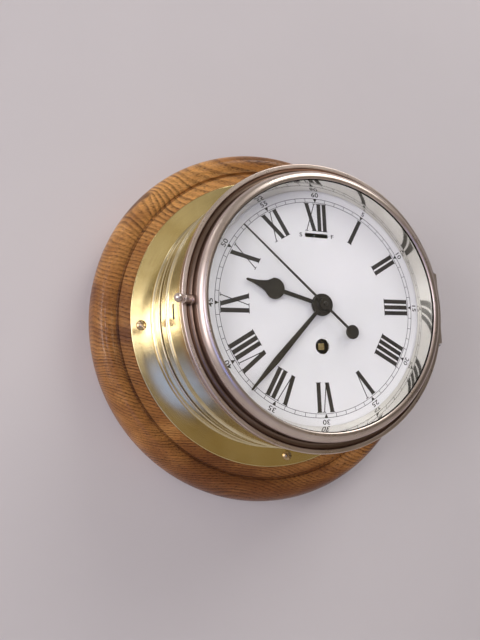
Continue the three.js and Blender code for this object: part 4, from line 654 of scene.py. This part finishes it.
paintWork = {"cloud": (4.0, 0.6), "cloudSpan": (0.35, 0.65), "grain": (2.0, 0.5), "metallic": 0.0}
paintLook = {
    "dial_white": {
        "light": (0.80, 0.79, 0.785), "dark": (0.765, 0.755, 0.75), "cloudScale": 18.0,
        "grainScale": 900.0, "rough": (0.30, 0.40), "bump": 0.05},
    "hand_black": {
        "light": (0.042, 0.036, 0.026), "dark": (0.022, 0.019, 0.014), "cloudScale": 90.0,
        "grainScale": 1200.0, "rough": (0.26, 0.40), "bump": 0.10, "metallic": 0.35},
    # near-black: painted shade for the seam ring and for the catch's toe in the drum's slot; the catch spring
    # is given it too
    "seam_dark": {
        "light": (0.030, 0.020, 0.010), "dark": (0.015, 0.010, 0.006), "cloudScale": 90.0,
        "grainScale": 900.0, "rough": (0.7, 0.9), "bump": 0.2},
    "dial_ink": {
        "light": (0.020, 0.016, 0.012), "dark": (0.010, 0.008, 0.006), "cloudScale": 120.0,
        "grainScale": 1500.0, "rough": (0.35, 0.5), "bump": 0.08},
}


def paintFinish(name, ownLook):
    look = {**paintWork, **ownLook}
    material, tree, shader = newMaterial(name, Metallic=look["metallic"])
    place = objectPlace(tree)
    cloud = noise(tree, place, look["cloudScale"], *look["cloud"])
    setColour(tree, shader, fade(tree, cloud, look["cloudSpan"], look["dark"], look["light"]))
    grain = noise(tree, place, look["grainScale"], *look["grain"])
    setRoughness(tree, shader, grain, noiseSpan, look["rough"])
    bump(tree, shader, grain, look["bump"])
    return material


glassLook = {
    "film": (14.0, 3.0, 0.6), "filmSpan": (0.4, 0.75), "rough": (0.0, 0.02), "index": 1.45,
    "tint": (0.98, 0.99, 0.98), "clear": (1.0, 1.0, 1.0),
}


def glassFinish(look):
    material, tree, shader = newMaterial("windowGlass", Transmission_Weight=1.0, IOR=look["index"])
    film = noise(tree, objectPlace(tree), *look["film"])
    setRoughness(tree, shader, film, look["filmSpan"], look["rough"])
    setColour(tree, shader, fade(tree, film, noiseSpan, look["tint"], look["clear"]))
    letThrough(tree, shader, addNode(tree, "LightPath").outputs["Is Shadow Ray"])
    return material


def materialName(key):  # pale_brass becomes paleBrass
    first, *rest = key.split("_")
    return first + "".join(word.title() for word in rest)


finishes = {"oak": oakFinish(oakLook), "clear_glass": glassFinish(glassLook)}
for makeFinish, looks in ((metalFinish, metalLook), (paintFinish, paintLook)):
    for key, look in looks.items():
        finishes[key] = makeFinish(materialName(key), look)
print("finishes made")

# Oak plinth

plinthSize = {
    "radius": 137.5, "bellyForward": 17.5, "bellySteps": 20, "backRadius": 133.0, "backRound": 1.2,
    "under": (5.0, 20.0), "underTurn": -34.0, "underSteps": 5,
    "crownRadius": 127.0, "crown": 34.2, "shoulder": 9.4, "shoulderAngle": 45.0, "shoulderSteps": 8,
    "grooveOuter": 120.3, "grooveInner": 118.5, "grooveBottom": 28.5, "grooveSlope": 0.1, "flat": 30.0,
    "steps": 240, "smooth": 40,
}
hangerSize = {
    "rise": 96.0, "width": 46.6, "tall": 26.6, "corner": 5.3, "cornerSteps": 6, "thickness": 1.6,
    "pocketRadius": 8.5, "pocketDepth": 9.0, "slotRise": 8.0, "slotSteps": 16,
}


def roundedBox(size):
    points = []
    for across, up, start in ((1, -1, -90), (1, 1, 0), (-1, 1, 90), (-1, -1, 180)):
        x = across * (size["width"] / 2 - size["corner"])
        z = size["rise"] + up * (size["tall"] / 2 - size["corner"])
        points += arcPoints((x, z), (size["corner"],) * 2, start, start + 90, size["cornerSteps"])
    return points


def makePlinth(size, hanger):
    belly, crown, groove = size["bellyForward"], size["crownRadius"], size["grooveBottom"]
    reach = (size["radius"] - crown, size["crown"] - belly)
    under = size["under"]
    profile = [
        (0, size["flat"]), (size["grooveInner"] - size["grooveSlope"], size["flat"], brokenEdge),
        (size["grooveInner"], groove, softEdge), (size["grooveOuter"], groove, softEdge),
        *arcPoints((crown, size["crown"] - size["shoulder"]), (size["shoulder"],) * 2,
                   90 + size["shoulderAngle"], 90, size["shoulderSteps"]),
        *arcPoints((crown, belly), reach, 90, 0, size["bellySteps"])[1:],
        *arcPoints((size["radius"] - under[0], belly), under, 0, size["underTurn"], size["underSteps"])[1:],
        (size["backRadius"], 0, size["backRound"]), (0, 0)]
    plinth = turnPiece("plinthBoard", profile, size["steps"])
    bed = platePiece("tool", [roundedBox(hanger)], -overrun, hanger["thickness"])
    low = hanger["rise"] - hanger["slotRise"] / 2
    hole = roundEnded((0, low + hanger["slotRise"]), (0, low), hanger["pocketRadius"], 0, hanger["slotSteps"])
    cutOut(plinth, bed, platePiece("tool", [hole], -overrun, hanger["pocketDepth"]))
    finishPiece(plinth, "case", "oak", "oak_plinth", size["smooth"])


makePlinth(plinthSize, hangerSize)
print("plinth made")

# Flange, collar and drum

flangeSize = {"radius": 110.7, "back": 30.0, "front": 33.0, "edge": 0.8, "recessRadius": 91.8, "recess": 32.0}
collarSize = {
    "bore": 91.8, "foot": 33.3, "bead": 96.6, "beadTop": 35.6, "beadFall": 0.2, "beadRound": 1.0,
    "wall": 95.1, "front": 53.5, "edge": 0.7,
}
drumSize = {
    "bore": 89.0, "spigot": 91.5, "spigotBack": 43.2, "ring": 93.9, "ringBack": 56.1, "ringFront": 69.8,
    "edge": 0.5, "fillet": 0.4, "body": 92.7, "front": 102.7,
    "ledgeBore": 54.0, "ledgeBack": 99.8, "ledge": 102.0,
    "slotMiddle": (87.4, -3.6), "slotHalf": (2.2, 4.8), "slotRings": (84.7, 90.1), "slotInside": 2.6,
    "toeDepth": 4.0, "toeSink": 0.1, "seamSink": 0.02, "seamDepth": 1.0, "steps": 288,
}


def makeFlange(size):
    radius, front, recess = size["radius"], size["front"], size["recess"]
    flange = turnPiece("flangePlate", [
        (0, size["back"]), (radius, size["back"], easedEdge), (radius, front, size["edge"]),
        (size["recessRadius"], front), (size["recessRadius"], recess), (0, recess)])
    finishPiece(flange, "case", "yellow_brass", "base_flange")


def makeCollar(size):
    bore, bead, top, wall, front = (size[key] for key in ("bore", "bead", "beadTop", "wall", "front"))
    collar = turnPiece("collarRing", [
        (bore, size["foot"]), (bead, size["foot"], softEdge),
        (bead, top - size["beadFall"], size["beadRound"]), (wall, top, easedEdge),
        (wall, front, size["edge"]), (bore, front, crispEdge)], closed=True)
    finishPiece(collar, "case", "yellow_brass", "base_collar", finish="drum_brass")


def makeSeam(size, back):  # painted shade: a near-black ring that fills the joint between the collar and the drum
    low, high, front = size["spigot"] + size["seamSink"], size["spigot"] + size["seamDepth"], size["ringBack"]
    seamShadow = turnPiece("seamRing", [(low, back), (high, back), (high, front), (low, front)], closed=True)
    finishPiece(seamShadow, "case", "dark_brass", finish="seam_dark")


def makeDrum(size):
    bore, ring, body, front = (size[key] for key in ("bore", "ring", "body", "front"))
    drum = turnPiece("drumShell", [
        (bore, size["spigotBack"]), (size["spigot"], size["spigotBack"], easedEdge),
        (size["spigot"], size["ringBack"]), (ring, size["ringBack"], size["edge"]),
        (ring, size["ringFront"], size["edge"]), (body, size["ringFront"] + size["fillet"], easedEdge),
        *[(body, forward) for forward in size["slotRings"]], (body, front, brokenEdge),
        (bore, front, crispEdge), (bore, size["ledge"]),
        (size["ledgeBore"], size["ledge"]), (size["ledgeBore"], size["ledgeBack"]),
        (bore, size["ledgeBack"])], size["steps"], closed=True)
    (forward, rise), (wide, tall) = size["slotMiddle"], size["slotHalf"]
    low, high = (forward - wide, rise - tall), (forward + wide, rise + tall)
    cutOut(drum, blockTool((-ring - 2 * overrun, *low), (size["slotInside"] - bore, *high)))
    # The toe of the catch closes the slot from inside; its near-black colour is painted shade, so that the
    # slot looks dark
    toe = rename(blockTool((-bore - size["toeDepth"], *low), (-bore, *high)), "catchToe")
    curve = boreTool(body - size["toeSink"], low[0] - overrun, high[0] + overrun, sides=size["steps"])
    combine("INTERSECT", toe, [curve])
    finishPiece(toe, "case", "dark_brass", smooth=0, finish="seam_dark")
    finishPiece(drum, "case", "yellow_brass", "drum", finish="drum_brass")


makeFlange(flangeSize)
makeCollar(collarSize)
makeDrum(drumSize)
makeSeam(drumSize, collarSize["front"])
print("flange, collar and drum made")

# Flange screws: round heads with a cut slot

screwSize = {
    "head": 3.7, "height": 2.0, "domeSteps": 9, "shank": 2.1, "tip": 11.0, "point": 2.0, "seat": 33.0,
    "slotWidth": 1.0, "slotDepth": 1.1, "slotTurn": 48.0, "circle": 103.2, "clock": (-3, 87, 177, 267),
    "edge": (0.12, 1, 40), "steps": 40,
}


def makeScrews(size):
    seat, top = size["seat"], size["seat"] + size["height"]
    half, reach = size["slotWidth"] / 2, size["head"] + overrun
    dome = arcPoints((0, seat), (size["head"], size["height"]), 0, 90, size["domeSteps"])[:-1]
    shank = [(0, size["tip"]), (size["shank"], size["tip"] + size["point"]), (size["shank"], seat)]
    first = turnPiece("screwOne", [*shank, *dome, (0, top)], size["steps"])
    cutOut(first, blockTool((-reach, top - size["slotDepth"], -half), (reach, top + overrun, half)))
    softenEdges(first, *size["edge"])
    for number, angle in enumerate(size["clock"], 1):
        x, z = onClock(size["circle"], angle)
        screw = copyPiece(first, "flangeScrew" + str(number), size["slotTurn"], (x, 0, z))
        finishPiece(screw, "case", "dark_brass", "flange_screw_" + str(number), finish="screw_brass")
    bpy.data.objects.remove(first)


makeScrews(screwSize)
print("flange screws made")

# Dial plate and its print

minuteAngle = 6
hourAngle = 30
dialSize = {
    "radius": 88.4, "back": 102.0, "front": 103.0, "centreHole": 4.5, "centreRound": 0.15,
    "windingHole": 5.0, "windingDrop": 26.5, "windingSteps": 64,
    "slotRise": 46.3, "slotLength": 17.6, "slotWidth": 2.9, "slotSteps": 12,
    "footRadius": 1.6, "footCircle": 46.0, "footAngles": (90, 200, 340), "footBack": 86.2, "footSink": 0.5,
    "footSteps": 24,
}
printSize = {
    "inner": 49.4, "outer": 67.8, "thick": 2.8, "thin": 0.6, "pitch": 3.95, "letter": 8.9, "spacing": 0.45,
    "thinReach": 0.5, "vFeet": (0.3, 0.9), "serif": 0.42, "thickFlare": 0.5, "thinFlare": 0.85,
    "trackInner": 68.8, "trackOuter": 71.3, "line": 0.30, "minute": 0.30, "steps": 240,
    "triangle": 2.5, "triangleDrop": 0.1,
    "trackStep": 0.005,  # rings, bars and triangles differ in height, so that no two faces share a place
    "digitCentre": 73.8, "digitTall": 3.1, "letterTall": 2.7, "letterReach": 11.6, "letterRise": 46.1,
    "perCapital": 1.38, "curveSteps": 3, "wide": 1.3, "bold": 0.05, "ink": 0.05, "sink": 0.02,
}


def makeDial(size):
    back, front, hole = size["back"], size["front"], size["centreHole"]
    dial = turnPiece("dialPlate", [
        (hole, back), (size["radius"], back), (size["radius"], front, easedEdge),
        (hole, front, size["centreRound"])], closed=True)
    winding = boreTool(
        size["windingHole"], back - overrun, front + overrun, 0, -size["windingDrop"], size["windingSteps"])
    tip = size["slotWidth"] / 2
    half = (size["slotLength"] - size["slotWidth"]) / 2
    slot = roundEnded((half, size["slotRise"]), (-half, size["slotRise"]), tip, -90, size["slotSteps"])
    cutOut(dial, winding, platePiece("tool", [slot], back - overrun, front + overrun))
    footEnd = back + size["footSink"]
    for angle in size["footAngles"]:
        x, z = onClock(size["footCircle"], angle)
        joinTo(dial, boreTool(size["footRadius"], size["footBack"], footEnd, x, z, size["footSteps"]))
    finishPiece(dial, "case", "dial_white", "dial")


def turnedOutline(points, degrees):  # an outline drawn at twelve, carried clockwise
    sine, cosine = onClock(1, degrees)
    return [(x * cosine + z * sine, z * cosine - x * sine) for x, z in points]


def slantStroke(footX, headX, width, low, high):
    half = width / 2
    return [(footX - half, low), (footX + half, low), (headX + half, high), (headX - half, high)]


def numeralStrokes(letters, size):
    low, high, thick, thin = (size[key] for key in ("inner", "outer", "thick", "thin"))
    advance = {"I": size["pitch"], "V": size["letter"], "X": size["letter"]}
    left = -sum(advance[letter] for letter in letters) / 2
    strokes = []
    for letter in letters:
        middle = left + advance[letter] / 2
        spread = (advance[letter] - thick) / 2 - size["spacing"]
        lean = spread + size["thinReach"]
        limbs = {  # where each limb's foot and head stand, and its width
            "I": [(0, 0, thick)],
            "V": [(size["vFeet"][0], -spread, thick), (size["vFeet"][1], lean, thin)],
            "X": [(spread, -spread, thick), (-lean, lean, thin)],
        }[letter]
        for foot, head, width in limbs:
            strokes.append(slantStroke(middle + foot, middle + head, width, low, high))
        serifs = [] if letter == "V" else [(middle + foot, low, width) for foot, head, width in limbs]
        serifs += [(middle + head, high, width) for foot, head, width in limbs]
        for x, at, width in serifs:
            wide = width + 2 * (size["thickFlare"] if width == thick else size["thinFlare"])
            strokes.append(slantStroke(x, x, wide, at - size["serif"] / 2, at + size["serif"] / 2))
        left += advance[letter]
    return strokes


def printPiece(name, outlines, lift=0.0):
    front = dialSize["front"]
    return platePiece(name, outlines, front - printSize["sink"], front + printSize["ink"] + lift)


def finishPrint(piece):
    finishPiece(piece, "case", "hand_black", smooth=0, finish="dial_ink")


def makeNumerals(size):
    names = ("XII", "I", "II", "III", "IIII", "V", "VI", "VII", "VIII", "IX", "X", "XI")
    for hour, letters in enumerate(names):
        strokes = [turnedOutline(stroke, hourAngle * hour) for stroke in numeralStrokes(letters, size)]
        finishPrint(printPiece("numeral" + str(hour or len(names)), strokes))


def makeTrack(size):
    back, front = dialSize["front"] - size["sink"], dialSize["front"] + size["ink"]
    inner, outer, drop = size["trackInner"], size["trackOuter"], size["triangleDrop"]
    pieces = []
    for name, radius in (("trackInner", inner), ("trackOuter", outer)):
        low, high = radius - size["line"] / 2, radius + size["line"] / 2
        profile = [(low, back), (high, back), (high, front), (low, front)]
        pieces.append(turnPiece(name, profile, size["steps"], closed=True))
    bars, marks = [], []
    for angle in range(0, 360, minuteAngle):
        if angle % hourAngle:
            bars.append(turnedOutline(slantStroke(0, 0, size["minute"], inner, outer), angle))
        else:
            half = size["triangle"] / 2
            mark = [(0, inner - drop), (half, outer - drop), (-half, outer - drop)]
            marks.append(turnedOutline(mark, angle))
    pieces.append(printPiece("trackMinutes", bars, -size["trackStep"]))
    pieces.append(printPiece("trackTriangles", marks, size["trackStep"]))
    for piece in pieces:
        finishPrint(piece)


def makeText(name, words, tall, x, z, turn, size):
    clearSelection()
    place = metres(x, size["sink"] - dialSize["front"], z)
    bpy.ops.object.text_add(location=place, rotation=(math.pi / 2, math.radians(turn), 0))
    text = bpy.context.object
    text.data.body = words
    text.data.align_x, text.data.align_y = "CENTER", "CENTER"
    text.data.size = tall * size["perCapital"] / perMetre
    text.data.resolution_u = size["curveSteps"]
    text.data.extrude = (size["ink"] + size["sink"]) / perMetre
    text.data.offset = size["bold"] / perMetre
    text.scale = (size["wide"], 1, 1)
    bpy.ops.object.convert(target="MESH")
    applyPlace()
    bpy.ops.object.mode_set(mode="EDIT")
    tidyMesh(fineWeldGap)
    bpy.ops.object.mode_set(mode="OBJECT")
    finishPrint(rename(bpy.context.object, name))


def makeDigits(size):
    for minute in range(5, 65, 5):
        angle = minuteAngle * minute
        x, z = onClock(size["digitCentre"], angle)
        makeText("minutes" + str(minute), str(minute), size["digitTall"], x, z, angle, size)
    reach = size["letterReach"]
    for name, letter, x in (("slowLetter", "S", -reach), ("fastLetter", "F", reach)):
        makeText(name, letter, size["letterTall"], x, size["letterRise"], 0, size)


makeDial(dialSize)
makeNumerals(printSize)
makeTrack(printSize)
makeDigits(printSize)
print("dial and its print made")

# Bezel, glass and sight ring

bezelSize = {
    "rearBore": 85.2, "rear": 103.3, "rim": 92.8, "rimFront": 109.0, "rimRound": 0.7, "land": 90.1,
    "cove": [(89.9, 107.9), (89.0, 106.9), (87.6, 106.7), (86.3, 107.2), (85.7, 108.6), (85.6, 110.6)],
    "bead": (80.7, 113.0), "beadHalf": (4.9, 4.85), "beadSteps": 14,
    "crown": [(80.1, 117.75), (79.6, 117.55)], "curveSteps": 4,
    "opening": 79.3, "lipFront": 117.3, "lipRear": 117.0, "bore": 82.3, "boreRear": 114.5,
    "knobGap": 0.3, "steps": 240, "smooth": 40,
}
glassSize = {"radius": 81.9, "rear": 115.1, "front": 117.0}
sightSize = {
    "rear": 103.6, "wall": 0.9, "dialRadius": 76.4, "outer": 81.9, "mouth": 78.9, "front": 115.1,
    "steps": 240,
}


def makeBezel(size):
    bead = arcPoints(size["bead"], size["beadHalf"], 0, 90, size["beadSteps"])
    cove = smoothCurve([*size["cove"], bead[0]], size["curveSteps"])
    crown = smoothCurve([bead[-1], *size["crown"], (size["opening"], size["lipFront"])], size["curveSteps"])
    bezel = turnPiece("bezelRing", [
        (size["rearBore"], size["rear"]), (size["rim"], size["rear"], easedEdge),
        (size["rim"], size["rimFront"], size["rimRound"]), (size["land"], size["rimFront"], easedEdge),
        *cove[:-1], *bead[:-1], *crown, (size["opening"], size["lipRear"]), (size["bore"], size["lipRear"]),
        (size["bore"], size["boreRear"])], size["steps"], closed=True)
    cutOut(bezel, knobTool(knobSize, size["knobGap"]))
    finishPiece(bezel, "bezel", "pale_brass", "bezel_ring", size["smooth"])


def makeGlass(size):
    radius, rear, front = size["radius"], size["rear"], size["front"]
    pane = turnPiece("windowPane", [
        (0, rear), (radius, rear, crispEdge), (radius, front, crispEdge), (0, front)])
    finishPiece(pane, "bezel", "clear_glass", "glass")


def makeSightRing(size):
    rear, front, wall, foot, outer, mouth = (
        size[key] for key in ("rear", "front", "wall", "dialRadius", "outer", "mouth"))
    ring = turnPiece("sightRing", [
        (foot, rear), (outer, rear), (outer, rear + wall), (foot + 2 * wall, rear + wall),
        (mouth + wall, front - wall), (outer, front - wall), (outer, front), (mouth, front),
        (foot, rear + wall)], size["steps"], closed=True)
    finishPiece(ring, "bezel", "silvered_brass", "sight_ring")


# Pull knob: a little turned post that leans outwards and forwards at nine o'clock

knobSize = {
    "foot": (-86.6, -109.7, 0.0), "tilt": 31.0, "shank": 1.5, "shankLength": 1.6, "barrel": 2.8,
    "barrelLength": 7.8, "chamfer": 0.6, "groove": (2.0, 2.4, 2.9, 3.3), "grooveDepth": 0.35, "neck": 1.5,
    "neckLength": 0.9, "ball": 2.65, "ballSteps": 16, "toolLength": 8.7, "steps": 48,
}


def knobLathe(size):
    tilt = math.radians(size["tilt"])
    return {"origin": size["foot"], "axis": (-math.cos(tilt), -math.sin(tilt), 0), "side": (0, 0, 1)}


def knobTool(size, gap):
    foot, end = -size["shankLength"] - gap, size["toolLength"]
    shank, barrel = size["shank"] + gap, size["barrel"] + gap
    return turnPiece("tool", [
        (0, foot), (shank, foot), (shank, -gap), (barrel, -gap), (barrel, end), (0, end)],
        size["steps"], lathe=knobLathe(size))


def makeKnob(size):
    foot, shank, barrel, length = (size[key] for key in ("shankLength", "shank", "barrel", "barrelLength"))
    waist = barrel - size["grooveDepth"]
    neck = length + size["neckLength"]
    centre = neck + math.sqrt(size["ball"] ** 2 - size["neck"] ** 2)
    start = math.degrees(math.asin((neck - centre) / size["ball"]))
    ball = arcPoints((0, centre), (size["ball"],) * 2, start, 90, size["ballSteps"])[:-1]
    first, second, third, fourth = size["groove"]
    knob = turnPiece("pullKnob", [
        (0, -foot), (shank, -foot, crispEdge), (shank, 0), (barrel, 0, softEdge), (barrel, first),
        (waist, second, crispEdge), (waist, third, crispEdge), (barrel, fourth),
        (barrel, length, size["chamfer"]), (size["neck"], length, easedEdge), *ball,
        (0, centre + size["ball"])], size["steps"], lathe=knobLathe(size))
    finishPiece(knob, "bezel", "pale_brass", "pull_knob")


makeBezel(bezelSize)
makeGlass(glassSize)
makeSightRing(sightSize)
makeKnob(knobSize)
print("bezel, glass, sight ring and knob made")

# Hinge at three o'clock

hingeSize = {
    "axisX": 95.5, "axisForward": 100.4, "knuckle": 2.1, "bore": 1.2, "boreReach": 60.0, "boreSteps": 24,
    "pin": 0.9, "length": 50.0, "count": 5, "gap": 0.4, "leafThickness": 1.2, "leafHalf": 25.0, "web": 1.4,
    "seat": 0.3, "seatReach": 20.0, "caseRear": 85.4, "bezelFront": 105.9, "steps": 40,
    "headRadius": 1.8, "headHeight": 1.4, "headRound": 0.6, "pinSteps": 32,
}


def hingeLathe(size):
    return {"origin": (size["axisX"], -size["axisForward"], 0), "axis": (0, 0, 1), "side": (1, 0, 0)}


def makeLeaf(name, size, first, radius, leaf, web, body, node):
    # The leaf and the webs that carry its knuckles are each given as back and front.
    half, pitch = size["length"] / 2, size["length"] / size["count"]
    back, front = leaf
    flush = math.sqrt(radius ** 2 - size["leafHalf"] ** 2) - size["leafThickness"]
    low, high = size["gap"] / 2 - half, half - size["gap"] / 2
    plate = rename(blockTool((flush, back, low), (radius + size["leafThickness"], front, high)), name)
    for number in range(first, size["count"], 2):
        low = -half + number * pitch + size["gap"] / 2
        high = low + pitch - size["gap"]
        knuckle = turnPiece("tool", [
            (0, low), (size["knuckle"], low, brokenEdge), (size["knuckle"], high, brokenEdge), (0, high)],
            size["steps"], lathe=hingeLathe(size))
        joinTo(plate, knuckle, blockTool((radius, web[0], low), (size["axisX"], web[1], high)))
    seat = boreTool(radius, back - size["seatReach"], front + size["seatReach"], sides=turnSteps)
    reach = size["boreReach"]
    bore = turnPiece("tool", [(0, -reach), (size["bore"], -reach), (size["bore"], reach), (0, reach)],
                     size["boreSteps"], lathe=hingeLathe(size))
    cutOut(plate, seat, bore)
    finishPiece(plate, body, "pale_brass", node)


def makePin(size):
    pin, wide, rounding = size["pin"], size["headRadius"], size["headRound"]
    near = size["length"] / 2 + size["seat"]
    far = near + size["headHeight"]
    piece = turnPiece("hingePin", [
        (0, -far), (wide, -far, rounding), (wide, -near, crispEdge), (pin, -near), (pin, near),
        (wide, near, crispEdge), (wide, far, rounding), (0, far)], size["pinSteps"], lathe=hingeLathe(size))
    finishPiece(piece, "case", "steel", "hinge_pin")


def makeHinge(size):
    forward, seat, web = size["axisForward"], size["seat"], size["web"]
    caseFront = forward - size["knuckle"] - seat
    bezelBack = forward + size["knuckle"] + seat
    makeLeaf("caseLeaf", size, 0, drumSize["body"] + seat, (size["caseRear"], caseFront),
             (caseFront - web, forward), "case", "hinge_leaf_case")
    makeLeaf("bezelLeaf", size, 1, bezelSize["rim"] + seat, (bezelBack, size["bezelFront"]),
             (forward, bezelBack + web), "bezel", "hinge_leaf_bezel")
    makePin(size)


makeHinge(hingeSize)
print("hinge made")

# Hands, drawn pointing to twelve and turned to where they stand

handSize = {
    "thickness": 0.8, "edge": (0.16, 2, 50), "smooth": 30, "bossSteps": 72, "boreSteps": 48,
    "hour": {"angle": 286.3, "back": 104.4, "length": 53.3, "boss": 7.25, "bore": 4.0, "arm": 1.25,
             "bulb": 6.7, "bulbAt": 34.0, "bulbArc": (-79, 22, 14), "neck": (3.3, 6.4),
             "taper": (1.4, 13.0), "curveSteps": 5, "tip": 0.7},
    "minute": {"angle": 224.2, "back": 106.1, "length": 73.0, "boss": 6.9, "bore": 2.9, "root": 1.1,
               "near": (1.2, 12), "wide": (2.0, 49.0), "tip": 0.55},
    "nut": {"back": 106.9, "front": 107.6, "radius": 4.6, "bore": 2.9, "boreRound": 0.15, "steps": 64},
    "seconds": {"angle": 312.3, "back": 107.8, "length": 71.7, "tail": 26.4, "disc": 4.6, "root": 0.7,
                "tip": 0.35, "boss": 3.5, "bossRise": 0.8, "steps": 56,
                "post": 1.35, "postLength": 2.0, "postRound": 0.4, "postSteps": 32,
                "socket": 0.95, "socketSteps": 24},
}


def mirrored(side):
    return side + [(-x, z) for x, z in reversed(side)]


def finishHand(hand, look, body, node):
    softenEdges(hand, *handSize["edge"])
    selectOnly(hand)
    hand.rotation_euler = (0, math.radians(look["angle"]), 0)
    applyPlace()
    finishPiece(hand, body, "hand_black", node, handSize["smooth"])


def makeBossedHand(name, side, look, body, node):  # a flat hand on a round boss with a hole
    back, front = look["back"], look["back"] + handSize["thickness"]
    hand = platePiece(name, [mirrored(side)], back, front)
    joinTo(hand, boreTool(look["boss"], back, front, sides=handSize["bossSteps"]))
    cutOut(hand, boreTool(look["bore"], back - overrun, front + overrun, sides=handSize["boreSteps"]))
    finishHand(hand, look, body, node)


def makeHourHand(look):
    start, end, count = look["bulbArc"]
    bulb = arcPoints((0, look["bulbAt"]), (look["bulb"],) * 2, start, end, count)
    shoulder = [(x, look["bulbAt"] + z) for x, z in (look["neck"], look["taper"])]
    point = (look["tip"], look["length"] - look["tip"])
    neck = smoothCurve([bulb[-1], *shoulder, point], look["curveSteps"])
    side = [(look["arm"], 0), *bulb[:-1], *neck, (look["tip"] / 2, look["length"])]
    makeBossedHand("hourHand", side, look, "hour_work", "hour_hand")


def makeMinuteHand(look):
    tip, length = look["tip"], look["length"]
    side = [(look["root"], 0), look["near"], look["wide"], (tip, length - tip), (tip / 2, length)]
    makeBossedHand("minuteHand", side, look, "minute_work", "minute_hand")


def makeNut(look):
    bore, radius, back, front = (look[key] for key in ("bore", "radius", "back", "front"))
    nut = turnPiece("handNut", [
        (bore, back), (radius, back), (radius, front, brokenEdge), (bore, front, look["boreRound"])],
        look["steps"], closed=True)
    finishPiece(nut, "minute_work", "hand_black", "hand_nut")


def makeSecondsHand(look):
    back, front = look["back"], look["back"] + handSize["thickness"]
    tail, post, end = look["tail"], look["post"], front + look["postLength"]
    side = [(look["root"], -tail), (look["root"], 0), (look["tip"], look["length"])]
    hand = platePiece("secondsHand", [mirrored(side)], back, front)
    disc = boreTool(look["disc"], back, front, 0, -tail, look["steps"])
    boss = boreTool(look["boss"], back, front + look["bossRise"], sides=look["steps"])
    joinTo(hand, disc, boss, turnPiece("tool", [
        (0, front), (post, front), (post, end, look["postRound"]), (0, end)], look["postSteps"]))
    cutOut(hand, boreTool(look["socket"], back - overrun, front, sides=look["socketSteps"]))
    finishHand(hand, look, "seconds_work", "seconds_hand")


makeHourHand(handSize["hour"])
makeMinuteHand(handSize["minute"])
makeNut(handSize["nut"])
makeSecondsHand(handSize["seconds"])
print("hands made")

# The movement and the small parts keep their solids and get finishes of their own

steelNodes = (
    "mainspring", "click", "ratchet_wheel", "cannon_pinion", "pallet_lever", "escape_wheel", "hairspring",
    "pillar_nut_1", "pillar_nut_2", "pillar_nut_3", "pillar_nut_4", "hanger_screw_1", "hanger_screw_2",
    "regulator_index",
)
keptFinish = {"catch_spring": "seam_dark", **dict.fromkeys(steelNodes, "steel")}  # the rest is plate brass
for nodeName, node in frame["nodes"].items():
    if nodeName in replaced:
        continue
    for place in node.material_slots:
        place.material = finishes[keptFinish.get(nodeName, "plate_brass")]
print("kept nodes finished")

clearSelection()
